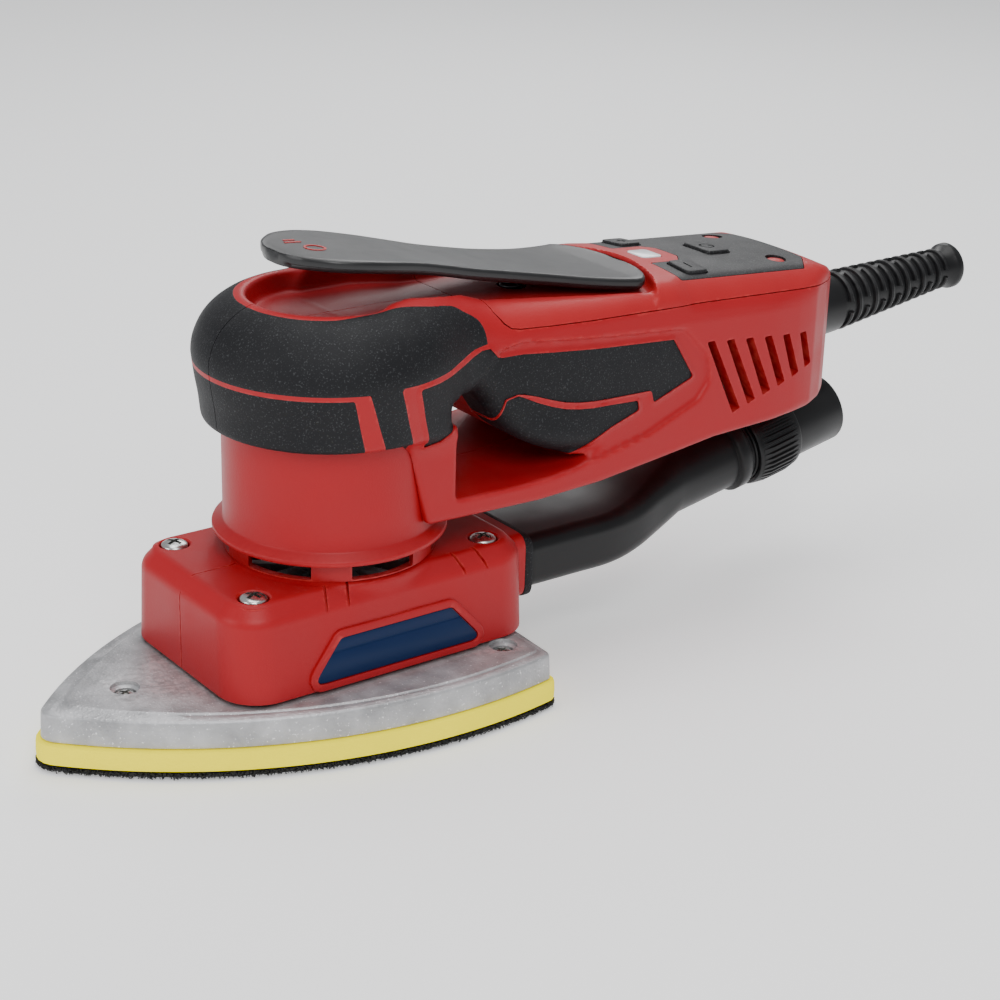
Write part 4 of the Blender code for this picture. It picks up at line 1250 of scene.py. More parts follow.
@dataclass
class Body:
    """The clam-shell halves with their rubber, made from the body's form."""

    form: BodyForm
    rubber: float = 2.2
    wall: float = 4.6
    lower_band: Outline = field(default_factory=lambda: [(-46, 84), (-9.3, 84), (-11.0, 91), (-15.1, 106.9),
                                                         (-46, 106.9)])
    upper_band: Outline = field(default_factory=lambda: [
        (-46, 108.3), (-10.9, 108.3), (-10.5, 107.0), (-5.0, 91.0), (-3.0, 84), (6.6, 84), (4.4, 91.0),
        (-1.0, 107.6), (-1.0, 109.0), (4.9, 109.0), (18.0, 109.7), (31.2, 111.8), (37.5, 112.4), (52, 132),
        (-46, 132)])
    side_grip: Outline = field(default_factory=lambda: [
        (4.9, 107.6), (10.0, 91.0), (10.6, 87.0), (16.0, 88.0), (22.0, 90.6), (30.0, 88.0), (42.4, 84.2),
        (43.6, 86.4), (44.3, 93.7), (48.1, 94.7), (50.6, 94.3), (55.0, 93.0), (60.0, 91.2), (65.0, 89.6),
        (70.0, 88.7),
        (75.0, 88.2), (80.2, 87.9), (98.2, 87.4), (99.4, 83.2), (115.4, 89.0), (106.4, 102.8), (78.0, 104.9),
        (49.4, 107.3), (42.0, 107.2), (40.2, 108.0), (37.4, 110.9), (34.0, 111.0), (31.2, 110.3), (26.0, 109.2),
        (18.0, 108.2), (12.0, 107.8)])
    belly_grip: Outline = field(default_factory=lambda: [
        (43.8, 86.2), (44.5, 93.5), (48.2, 94.4), (50.4, 93.4), (55.0, 91.2), (60.0, 89.2), (65.0, 87.6),
        (70.0, 86.7), (75.0, 86.2), (80.2, 86.0), (93.0, 85.3), (93.8, 81.9), (83.0, 78.4), (77.0, 75.8),
        (72.4, 72.8), (66.2, 70.6), (59.0, 72.6), (51.0, 76.8), (44.6, 81.0), (42.6, 84.0)])
    rim: Outline = field(default_factory=lambda: [
        (-27.6, 0.0), (-26.8, -6.8), (-24.0, -13.8), (-19.6, -19.6), (-13.0, -24.2), (-5.0, -25.6), (4.0, -25.6),
        (17.0, -25.6), (23.0, -24.6), (27.0, -24.0), (31.0, -24.9), (34.7, -26.0), (37.0, -28.6), (40.0, -34.0),
        (60.0, -60.0), (-60.0, -60.0), (-60.0, 0.0)])
    seam: Outline = field(default_factory=lambda: [
        (40.6, 136.0), (40.4, 124.0), (41.4, 120.1), (43.4, 116.9), (45.6, 115.3), (48.6, 114.8), (117.3, 112.5),
        (177.0, 109.3), (200.0, 108.0), (200.0, 136.0)])
    vents: int = 6
    screws: Outline = field(default_factory=lambda: [(76.0, 66.0), (106.0, 108.0), (150.0, 72.4), (158.0, 104.4)])

    def build(self, screws: GeometryTree) -> None:
        """Builds the halves, their rubber and the screws that join them."""
        self.whole = self.form.skin.surface("body_form", 0.0)
        self.under = self.form.skin.surface("under_rubber", -self.rubber)
        seat = self.form.skin.surface("rubber_seat", -self.rubber - 0.3)
        hollow = self.form.skin.surface("hollow", -self.wall)
        rim = prism("rim", [*spline(self.rim[:-3], 6), *self.rim[-3:]], 80.0, 140.0)
        patches = {
            "grip_lower": prism("patch", rounded(self.lower_band, 0.8, 3), FAR, LEFT_OF, "XZ"),
            "grip_upper": carve(prism("patch", rounded(self.upper_band, 0.8, 3), FAR, LEFT_OF, "XZ"), rim,
                                how="INTERSECT", keep=True),
            "side_grip": prism("patch", rounded(self.side_grip, 1.0, 3), FAR, -12.0, "XZ"),
            "belly_grip": prism("patch", rounded(self.belly_grip, 1.2, 3), FAR, -12.0, "XZ")}
        discard(rim)
        shell = copy_of(self.whole, "body_left_skin")
        carve(shell, block("keep", (-60, -60, 40), (200, LEFT_OF, 140)), how="INTERSECT")
        for name, patch in patches.items():
            pocket = carve(copy_of(patch, "pocket"), seat, how="DIFFERENCE", keep=True)
            carve(shell, pocket)
            rubber = carve(copy_of(self.whole, name), patch, how="INTERSECT", keep=True)
            carve(rubber, self.under, keep=True)
            halves(self.soften(rubber, 0.45), name, RUBBER)
        for outline in (self.side_grip, self.belly_grip):
            self.lip(shell, rounded(outline, 1.1, 3))
        for patch in patches.values():
            discard(patch)
        discard(seat)
        carve(shell, prism("cover_room", self.seam, FAR, 2.0, "XZ"))
        carve(shell, hollow)
        carve(shell, turned("column_room", [(0, 40), (32.4, 40), (32.4, 99.3), (0, 99.3)], 128))
        carve(shell, *[prism("vent", rounded(self.vent(i), 0.5, 2), -44.0, -20.0, "XZ") for i in range(self.vents)])
        boot_room = turned("boot_room", [(0, -12), (12.7, -12), (12.7, 12), (0, 12)], 64)
        carve(shell, backwards(boot_room, (190.0, 90.2), math.radians(4.2)))
        right = mirror_y(shell, "body_right_skin")
        for x, z in self.screws:
            carve(right, across(turned("well", [(0, -27.0), (3.4, -27.0), (3.4, -50), (0, -50)], 40), x, z))
        fit(shell, RED, "housing", "body_left")
        fit(right, RED, "housing", "body_right")
        heads = screws.run("housing_screw_heads", [(x, -z, 28.9) for x, z in self.screws], STEEL, Radius=0.0029,
                           Height=0.0026, Slot_width=0.0009)
        turn(heads, -math.pi / 2, (0, 0, 0), "X")
        shanks = [across(turned("shank", [(0, -14), (1.3, -14), (1.3, 28), (0, 28)], 16), x, z, -math.pi / 2)
                  for x, z in self.screws]
        made = merged("housing_screw_set", [heads, *shanks])
        fit(made, STEEL, "housing", *[f"housing_screw_{i}" for i in range(1, 5)])

    def lip(self, shell: Piece, outline: Outline) -> None:
        """Raises a low lip on the shell along a patch's outline."""
        near = FlatField(outline, 0.25, 3.0)
        mesh = shell.data
        places = places_of(mesh)
        away = near(places[:, 0], places[:, 2])
        share = smoothstep((1.1 - np.abs(away - 0.15)) / 0.9) * (np.abs(self.form.solid(places)) < 0.08)
        share *= places[:, 1] < -12.0
        chosen = share > 0.0
        places[chosen] += self.form.skin.gradient(places[chosen]) * (0.45 * share[chosen])[:, None]
        set_places(mesh, places)

    def soften(self, obj: Piece, width: float) -> Piece:
        """Rounds the outer edge of a rubber patch, by pulling its upper rim vertices inwards."""
        mesh = obj.data
        places = places_of(mesh)
        depth = self.form.solid(places)
        on_top = depth > -0.05
        ends = ends_of(mesh)
        rim = np.zeros(len(places), bool)
        for a, b in ((0, 1), (1, 0)):
            np.logical_or.at(rim, ends[:, a], depth[ends[:, b]] < -1.0)
        rim &= on_top
        slope = self.form.skin.gradient(places[rim])
        places[rim] -= slope * width
        set_places(mesh, places)
        return obj

    @staticmethod
    def vent(i: int) -> Outline:
        """One slanted slot; the slots grow shorter towards the cable."""
        share = i / 5.0
        top_x, top_z = 119.6 + 41.0 * share, 99.8 - 4.0 * share
        low_x, low_z = 132.4 + 32.3 * share, 73.8 + 9.2 * share
        return [(top_x, top_z), (top_x + 3.2, top_z), (low_x + 3.2, low_z + 1.2), (low_x, low_z)]


@dataclass
class Cover:
    """The tail's upper cover with its speckled panel, buttons, lens and red marks."""

    form: BodyForm
    seam: Outline
    panel: Outline = field(default_factory=lambda: [
        (175.6, 0.0), (173.6, -15.6), (171.6, -18.4), (166.6, -24.6), (113.8, -24.6), (113.8, -9.8),
        (125.4, -9.8), (128.6, -5.6), (128.6, 0.0)])
    buttons: dict[str, tuple[float, float, float, float]] = field(default_factory=lambda: {
        "plus_button": (123.2, 16.6, 4.4, 5.4), "minus_button": (123.2, -16.6, 4.4, 5.4),
        "power_button": (145.9, 0.0, 4.9, 6.6)})
    lens: tuple[float, float, float, float] = (119.2, 0.0, 4.2, 4.6)
    marks: tuple[float, float, float] = (162.5, 15.6, 3.5)
    pivot: tuple[float, float, float] = (116.0, 0.0, 121.1)
    slope: float = math.radians(4.36)

    def build(self, whole: Piece) -> None:
        """Builds the cover, its panel and everything on it.

        Args:
            whole: The body's outer form, as a closed mesh.
        """
        inner = self.form.skin.surface("inlay_seat", -1.2)
        pocket_floor = self.form.skin.surface("pocket_floor", -1.5)
        hollow = self.form.skin.surface("cover_hollow", -2.6)
        half = carve(copy_of(whole, "top_cover_skin"), block("keep", (-60, -60, 40), (200, 0.0, 140)),
                     how="INTERSECT")
        seam = [(x + (0.3 if x < 44 else 0.0), z + (0.35 if z < 119 else 0.0)) for x, z in self.seam]
        carve(half, prism("seam", seam, FAR, 2.0, "XZ"), how="INTERSECT")
        pocket = carve(prism("pocket", offset(rounded(self.panel, 0.6, 3), -0.25), 90.0, 140.0), pocket_floor)
        carve(half, pocket)
        carve(half, hollow, self.room(self.lens, 0.25, -1.6, 6.0))
        for spot in self.buttons.values():
            carve(half, self.room(spot, 0.3, -4.5, 6.0))
        carve(half, block("room", (92.0, -16.2, 113.0), (102.0, 16.2, 116.0)),
              turned("seat", [(0, 114.6), (4.6, 114.6), (4.6, 130), (0, 130)], 40, (66.0, 0.0)))
        cover = both_sides(half, "top_cover_skin")
        fit(cover, COARSE_RED, "housing", "top_cover")

        inlay = carve(copy_of(whole, "panel"), prism("outline", rounded(self.panel, 0.8, 3), 90.0, 140.0),
                      how="INTERSECT")
        carve(inlay, block("keep", (-60, -60, 40), (200, 0.0, 140)), how="INTERSECT")
        carve(inlay, inner)
        for spot in self.buttons.values():
            carve(inlay, self.room(spot, 0.55, -3.0, 6.0))
        x, y, radius = self.marks
        carve(inlay, self.lay(turned("hole", [(0, 117), (radius, 117), (radius, 124), (0, 124)], 48, (x, -y))))
        fit(both_sides(inlay, "panel_inlay"), PANEL, "housing", "control_panel")
        for name, spot in self.buttons.items():
            self.button(name, spot)
        lens = self.room(self.lens, 0.0, -1.3, 0.25)
        lens.name = "led_lens"
        fit(soft_edges(lens, 0.3, 3), LENS, "housing", "led_window")
        dots = [self.lay(turned("dot", [(0, 119.2), (radius - 0.4, 119.2), (radius - 0.4, 120.3),
                                        (radius - 0.9, 120.7), (0, 120.9)], 48, (x, side * y)))
                for side in (-1, 1)]
        fit(shift(merged("red_marks", dots), 0, 0, -0.75), MARK, "housing")

    def lay(self, obj: Piece) -> Piece:
        """Turns a level piece onto the panel's slope."""
        return turn(obj, self.slope, self.pivot)

    def room(self, spot: tuple[float, float, float, float], grow: float, low: float,
             high: float) -> Piece:
        """A rounded block standing in the panel.

        Args:
            spot: Middle x, middle y, half length and half width.
            grow: How much wider than the spot it is.
            low: Lower level against the panel's surface.
            high: Upper level against the panel's surface.

        Returns:
            The block's object.
        """
        x, y, half_x, half_y = spot
        a, b = half_x + grow, half_y + grow
        outline = rounded([(x - a, y - b), (x + a, y - b), (x + a, y + b), (x - a, y + b)], 2.0 + grow, 6)
        crown = y * y / CROWN
        made = prism("room", outline, self.pivot[2] + low - crown, self.pivot[2] + high - crown)
        turn(made, -math.atan(2 * y / CROWN), (x, y, self.pivot[2] - crown), "X")
        return self.lay(made)

    def button(self, name: str, spot: tuple[float, float, float, float]) -> None:
        """Builds a raised button with its sunken mark."""
        cap = self.room(spot, 0.0, -2.8, 0.9)
        cap.name = f"{name}_cap"
        soft_edges(cap, 0.5, 3)
        carve(cap, *self.strokes(name, *spot[:2]))
        fit(cap, PANEL, name, name)

    def strokes(self, name: str, x: float, y: float) -> list[Piece]:
        """Cutters for the strokes of a button's mark."""
        if name == "power_button":
            return [self.room((x + 1.6, y, 1.1, 0.3), -0.001, 0.6, 3.0), self.ring(x, y)]
        made = [self.bar(x, y, 0.35, 2.1)]
        return made + [self.bar(x, y, 2.1, 0.35)] if name == "plus_button" else made

    def bar(self, x: float, y: float, half_x: float, half_y: float) -> Piece:
        """A cutter for one stroke of a mark."""
        made = block("bar", (x - half_x, y - half_y, self.pivot[2] + 0.55),
                     (x + half_x, y + half_y, self.pivot[2] + 4.0))
        shift(made, 0, 0, -y * y / CROWN)
        return self.lay(turn(made, -math.atan(2 * y / CROWN), (x, y, self.pivot[2]), "X"))

    def ring(self, x: float, y: float) -> Piece:
        """A cutter for a round mark."""
        level = self.pivot[2] + 0.55
        section = [(2.0, level), (2.6, level), (2.6, level + 3), (2.0, level + 3)]
        return self.lay(turned("ring", section, 40, (x, y)))


# ---- shroud and column


@dataclass
class Shroud:
    """The box over the pad: drafted sides, chamfered top, round boss, screws, screw posts and name plate."""

    low: float = 19.6
    shoulder: float = 44.0
    top: float = 48.6
    front: float = -51.6
    rear: float = 53.2
    foot_half: float = 34.9
    shoulder_half: float = 33.1
    corner: float = 13.0
    chamfer: float = 4.2
    boss: float = 33.0
    wall: float = 2.5
    screw: tuple[float, float] = (40.4, 23.2)
    plate: Outline = field(default_factory=lambda: [(-28.0, 21.8), (32.0, 21.8), (21.0, 34.2), (-18.0, 34.2)])

    def solid(self, points: Array) -> Array:
        """Distance to the shroud's outer surface, in millimetres, with its underside left open."""
        x, y, z = points.T
        half = np.interp(z, [self.low, self.shoulder], [self.foot_half, self.shoulder_half])
        middle, half_x = (self.front + self.rear) / 2, (self.rear - self.front) / 2
        away_x = np.abs(x - middle) - (half_x - self.corner)
        away_y = np.abs(y) - (half - self.corner)
        around = (np.minimum(np.maximum(away_x, away_y), 0.0)
                  + np.hypot(np.maximum(away_x, 0.0), np.maximum(away_y, 0.0)) - self.corner)
        rise = self.top - self.shoulder
        slanted = (around * rise + (z - self.shoulder) * self.chamfer) / math.hypot(rise, self.chamfer)
        hull = round_max(round_max(around, slanted, 1.0), z - self.top, 0.8)
        boss = round_max(np.hypot(x, y) - self.boss, z - self.top, 1.0)
        return smooth_min(hull, boss, 1.6)

    def build(self, screws: GeometryTree) -> None:
        """Builds the shroud, its screw posts, its screws and its plate."""
        skin = Skin(self.solid, (-54, -38.5, 12.0), (56, 38.5, 50.5), 0.75)
        shell = skin.surface("shroud_skin", 0.0)
        carve(shell, self.border(), how="UNION")
        hollow = skin.surface("hollow", -self.wall)
        spigot = prism("spigot", rounded([(-22.6, 23.4), (22.6, 23.4), (22.6, 44.6), (-22.6, 44.6)], 5, 8),
                       50.0, 57.6, "YZ")
        carve(shell, spigot, how="UNION")
        carve(shell, hollow)
        carve(shell, block("floor", (-80, -60, 0), (80, 60, self.low)))
        for spot in self.corners():
            carve(shell, turned("post", [(0, 38.0), (6.6, 38.0), (6.6, self.top - 1.0), (0, self.top - 1.0)], 40,
                                spot), how="UNION")
        carve(shell, turned("column_hole", [(0, 40), (28.8, 40), (28.8, 52), (0, 52)], 128))
        carve(shell, prism("mouth", rounded([(-19, 26.4), (19, 26.4), (19, 41.2), (-19, 41.2)], 3, 4),
                           40.0, 60.0, "YZ"))
        for spot in self.corners():
            well = [(0, 34.0), (2.3, 34.0), (2.3, 46.4), (4.6, 46.4), (4.6, 48.1), (5.1, 48.6), (5.1, 56), (0, 56)]
            carve(shell, turned("well", well, 48, spot))
        carve(shell, block("parting", (-54, -0.2, 18), (-51.1, 0.2, 44.5)),
              block("parting", (-50.0, -0.2, 48.2), (-32.5, 0.2, 52)))
        carve(shell, *self.grooves())
        fit(shell, RED, "housing", "shroud")
        spots = self.corners()
        heads = screws.run("shroud_screw_heads", [(x, y, 48.1) for x, y in spots], STEEL, Radius=0.0041,
                           Height=0.0029, Slot_width=0.0012)
        shanks = [turned("shank", [(0, 28.0), (2.0, 28.0), (2.0, 47.0), (0, 47.0)], 24, spot) for spot in spots]
        made = merged("shroud_screw_set", [heads, *shanks])
        fit(made, STEEL, "housing", *[f"shroud_screw_{i}" for i in range(1, 5)])
        self.name_plate()

    def corners(self) -> Outline:
        """Places of the four corner screws."""
        return [(x, y) for x in (-self.screw[0], self.screw[0]) for y in (-self.screw[1], self.screw[1])]

    def grooves(self) -> list[Piece]:
        """Cutters for the paired slanted grooves across the chamfer."""
        made = []
        for side in (-1, 1):
            for x, lean in ((-22.0, 2.2), (-14.5, 2.2), (27.0, -2.2), (35.0, -2.2)):
                ring = []
                for along, z in ((-0.6, self.shoulder - 1.2), (5.6, self.top + 0.4)):
                    y = side * (self.shoulder_half - along)
                    slide = lean * (along / 5.0)
                    ring.append([(x + slide - 0.45, y, z - 0.5), (x + slide + 0.45, y, z - 0.5),
                                 (x + slide + 0.45, y, z + 2.0), (x + slide - 0.45, y, z + 2.0)])
                made.append(loft("groove", ring))
        return made

    def lean(self, obj: Piece) -> Piece:
        """Turns an upright piece onto the left wall's draft."""
        draft = math.atan((self.foot_half - self.shoulder_half) / (self.shoulder - self.low))
        return turn(obj, -draft, (0, -self.foot_half, self.low), "X")

    def border(self) -> Piece:
        """The raised border round the name plate."""
        edge = rounded(self.plate, 2.0, 5)
        frame_ring = prism("border", offset(edge, -2.6), -self.foot_half - 1.0, -self.foot_half + 0.9, "XZ")
        soft_edges(frame_ring, 0.4, 3)
        carve(frame_ring, prism("inside", offset(edge, -0.3), -60.0, -self.foot_half + 0.02, "XZ"))
        return self.lean(frame_ring)

    def name_plate(self) -> None:
        """Builds the plain plate in its raised border, with a fine rule below its upper edge."""
        plate = prism("plain_plate", rounded(self.plate, 2.0, 5), -self.foot_half - 0.6, -self.foot_half + 0.05,
                      "XZ")
        rule = prism("rule", rounded([(-22.4, 30.2), (25.6, 30.2), (24.8, 31.0), (-21.8, 31.0)], 0.3, 2),
                     -self.foot_half - 3.0, -self.foot_half - 0.45, "XZ")
        carve(plate, rule)
        fit(soft_edges(self.lean(plate), 0.15, 2), NAVY, "housing", "name_plate")


@dataclass
class Column:
    """The round motor housing with its flange and air windows."""

    radius: float = 32.1
    wall: float = 2.2
    windows: int = 6
    first: float = 208.6
    half_window: float = 10.5

    def build(self) -> None:
        """Builds the column."""
        foot = 48.9
        inner = self.radius - self.wall
        profile = [*((self.radius, 99.0 - 5.7 * i) for i in range(7)), (self.radius, 58.6),
                   (self.radius + 0.3, 57.9), (35.2, 56.6), (35.4, 56.2), (35.4, 55.3), (35.1, 54.9),
                   (31.8, 54.9), (31.8, foot), (inner, foot), (inner, 99.0)]
        column = turned("motor_housing_skin", profile, 160)
        for i in range(self.windows):
            window = prism("window", rounded([(-self.half_window, foot + 0.4), (self.half_window, foot + 0.4),
                                              (self.half_window, 54.8), (-self.half_window, 54.8)], 0.6, 3),
                           26.0, 40.0, "YZ")
            turn(window, math.radians(self.first + 360.0 * i / self.windows), (0, 0, 0), "Z")
            carve(column, window)
        fit(column, RED, "housing", "motor_housing", smooth=50.0)


# ---- pad


@dataclass
class Pad:
    """The cast plate, foam and hook facing of the delta pad."""

    tip: float = -96.8
    rear: float = 50.0
    corner: tuple[float, float] = (46.7, 50.0)
    side_radius: float = 156.0
    tip_half: float = 3.5
    screws: Outline = field(default_factory=lambda: [(-70.3, 0.0), (38.5, -37.5), (38.5, 37.5)])
    hook_overhang: float = 1.0
    foam_overhang: float = 1.5
    bristle: float = 0.0008
    cloth_low: float = 0.95

    def outline(self) -> Outline:
        """Blunt tip, arched sides, rounded corners and a slightly bowed rear edge."""
        start = Vector((self.tip + 1.2, self.tip_half))
        end = Vector(self.corner)
        chord = end - start
        half = chord.length / 2
        sideways = Vector((chord.y, -chord.x)).normalized()
        centre = (start + end) / 2 + sideways * math.sqrt(self.side_radius ** 2 - half ** 2)
        first = math.atan2(start.y - centre.y, start.x - centre.x)
        last = math.atan2(end.y - centre.y, end.x - centre.x)
        side = [(centre.x + self.side_radius * math.cos(first + (last - first) * i / 60),
                 centre.y + self.side_radius * math.sin(first + (last - first) * i / 60)) for i in range(61)]
        rear = [(self.corner[0] + 1.0, self.corner[1] - 0.6), (self.corner[0] + 1.8, self.corner[1] - 2.0),
                (self.rear - 1.2, 42.0), (self.rear - 0.7, 33.0), (self.rear - 0.2, 17.0)]
        upper = [(self.tip + 0.3, 1.8), *side, *rear]
        return [(self.tip, 0.0), *upper, (self.rear, 0.0), *mirrored(upper)]

    def stack(self, name: str, levels: Sequence[tuple[float, float]]) -> Piece:
        """Skins the outline at (inset, height) levels."""
        return loft(name, [[(x, y, z) for x, y in offset(self.outline(), inset)] for inset, z in levels])

    def build(self, screws: GeometryTree, hooks: GeometryTree) -> None:
        """Builds the pad's pieces."""
        plate = self.stack("pad_plate_skin", [(0.5, 9.3), (0.0, 9.7), (0.35, 16.9), (0.6, 17.5), (1.1, 17.9)])
        raised = loft("plateau", [[(12.0 + (x - 12.0) * share, y * share, z) for x, y in self.outline()]
                                  for share, z in ((0.93, 17.0), (0.93, 17.9), (0.923, 18.3), (0.915, 18.4))])
        carve(plate, raised, how="UNION")
        carve(plate, turned("bore", [(0, 7), (16.3, 7), (16.3, 21), (0, 21)], 96, (1.5, 0.0)))
        for spot in self.screws:
            carve(plate, turned("well", [(0, 13.0), (3.4, 13.0), (3.4, 16.6), (4.4, 17.2), (4.4, 21), (0, 21)], 48,
                                spot))
        fit(plate, CAST, "pad", "pad_plate", smooth=40.0)
        heads = screws.run("pad_screw_heads", [(x, y, 16.0) for x, y in self.screws], STEEL, Radius=0.003,
                           Height=0.0019, Slot_width=0.0009)
        section = [(0, 13.3), (2.9, 13.3), (2.9, 15.2), (0, 15.2)]
        shanks = [turned("shank", section, 32, spot) for spot in self.screws]
        made = merged("pad_screw_set", [heads, *shanks])
        fit(made, STEEL, "pad", "pad_screw_tip", "pad_screw_left", "pad_screw_right")

        grow = -self.foam_overhang
        foam = self.stack("foam_layer", [(grow + 0.5, 2.75), (grow + 0.08, 3.0), (grow, 3.6), (grow - 0.1, 5.8),
                                         (grow, 8.2), (grow + 0.1, 8.8), (grow + 0.5, 9.05)])
        fit(foam, FOAM, "pad", "foam_pad")

        grow = -self.hook_overhang
        cloth = self.stack("hook_cloth", [(grow + 0.2, self.cloth_low), (grow, self.cloth_low + 0.3), (grow, 2.5)])
        fit(cloth, HOOKS, "pad", "hook_facing")
        outline = offset(self.outline(), grow)
        under = mesh_object("field", [(x * MM, y * MM, (self.cloth_low + 0.05) * MM) for x, y in outline],
                            [list(range(len(outline)))])
        ring = [(x * MM, y * MM, z * MM) for z in (self.cloth_low + 0.1, 2.5) for x, y in outline]
        count = len(outline)
        faces = [(i, i + count, (i + 1) % count + count, (i + 1) % count) for i in range(count)]
        rim = mesh_object("rim", ring, faces)
        spread = hooks.run("spread", under, BRISTLE, Density=620000.0, Height=self.bristle, Thickness=0.00018)
        edge = hooks.run("edge", rim, BRISTLE, Density=9000000.0, Height=0.0008, Thickness=0.00014, Seed=11)
        bristles = merged("hook_bristles", [spread, edge])
        fit(bristles, BRISTLE, "pad", smooth=60.0)


# ---- lever


@dataclass
class Lever:
    """The start paddle, with a softened two-step edge and a plain red ring printed on it."""

    stations: list[tuple[float, float, float]] = field(default_factory=lambda: [
        (-19.0, 4.0, 142.2), (-18.4, 6.9, 142.2), (-17.0, 9.9, 142.15), (-15.0, 12.8, 142.1), (-10.0, 17.4, 141.8),
        (-5.0, 19.7, 141.3), (0.0, 20.7, 140.7), (5.0, 20.9, 139.9), (10.0, 20.4, 139.0), (20.0, 18.6, 136.9),
        (30.0, 17.3, 134.4), (40.0, 16.7, 131.8), (50.0, 16.3, 129.6), (60.0, 16.5, 127.5), (70.0, 17.6, 125.6),
        (80.0, 19.6, 123.8), (90.0, 22.0, 122.4), (97.0, 23.6, 121.7)])
    thickness: float = 3.8
    hinge: tuple[float, float] = (97.0, 116.6)

    def section(self, x: float, half: float, top: float) -> list[tuple[float, float, float]]:
        """One ring across the paddle, with a step and a round along each edge."""
        low = top - self.thickness
        e = min(1.0, half / 4)
        upper = [(half * s, top - 0.35 * (1 - abs(s) ** 2) * 0.6) for s in (0.0, 0.35, 0.65, 0.85)]
        rim = [(half - 1.25 * e, top), (half - 0.55 * e, top - 0.15), (half - 0.15 * e, top - 0.55),
               (half, top - 1.1), (half - 0.1 * e, low + 1.5), (half - 0.75 * e, low + 1.25),
               (half - 1.0 * e, low + 0.45), (half - 1.6 * e, low)]
        right = [*upper, *rim, (half * 0.5, low), (0.0, low)]
        left = [(-y, z) for y, z in right[1:-1]][::-1]
        return [(x, y, z) for y, z in right + left]

    def build(self) -> None:
        """Builds the paddle with its hinge lug and its mark."""
        fine = spline(self.stations, 5)
        rings = [self.section(*station) for station in fine]
        last = self.stations[-1]
        for i in range(1, 9):
            angle = i / 8 * 1.35
            half = last[1] * math.cos(angle) + 0.6
            rings.append(self.section(last[0] + 10.0 * math.sin(angle), half, last[2] - 0.03 * i))
        paddle = loft("paddle", rings)
        section = rounded([(94.4, 114.8), (99.6, 114.8), (99.8, 119.5), (94.2, 119.5)], 0.8, 3)
        lug = prism("lug", section, -12.0, 12.0, "XZ")
        carve(paddle, lug, how="UNION")
        hole = turned("hole", [(0, -30), (1.8, -30), (1.8, 30), (0, 30)], 32)
        carve(paddle, across(hole, *self.hinge))
        fit(paddle, SATIN, "lever", "lever", smooth=40.0)
        self.coil()
        ring = turned("ring", [(2.6, 141.2), (3.3, 141.2), (3.3, 142.4), (2.6, 142.4)], 48, (-6.0, -2.0))
        bar = block("bar", (-11.6, 5.0, 141.2), (-6.2, 5.9, 142.4))
        other = block("bar", (-10.6, 7.4, 141.2), (-7.0, 8.3, 142.4))
        mark = merged("lever_mark", [ring, bar, other])
        for vertex in mark.data.vertices:
            x = vertex.co.x / MM
            surface = float(np.interp(x, [s[0] for s in self.stations], [s[2] for s in self.stations]))
            vertex.co.z = (surface + (0.02 if vertex.co.z > 0.1418 else -0.5)) * MM
        fit(mark, MARK, "lever")


    def coil(self, wire: float = 0.5, turns: int = 4, steps: int = 26) -> None:
        """Builds the return spring as a fixed coil; the real spring shortens as the paddle goes down.

        Args:
            wire: Half the wire's thickness.
            turns: Turns of the coil.
            steps: Rings of the wire in one turn.
        """
        low, high = (Vector(corner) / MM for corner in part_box("lever_spring"))
        middle, reach = (low + high) / 2, (high.x - low.x) / 2 - wire
        rings = []
        for i in range(turns * steps + 1):
            angle = 2 * math.pi * i / steps
            height = low.z + wire + (high.z - low.z - 2 * wire) * i / (turns * steps)
            rings.append([(middle.x + (reach + wire * math.cos(k)) * math.cos(angle),
                           middle.y + (reach + wire * math.cos(k)) * math.sin(angle), height + wire * math.sin(k))
                          for k in (2 * math.pi * step / 10 for step in range(10))])
        spring = loft("return_spring", rings)
        fit(spring, SPRING, "housing", "lever_spring")
        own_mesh(spring)


# ---- dust outlet and cable boot


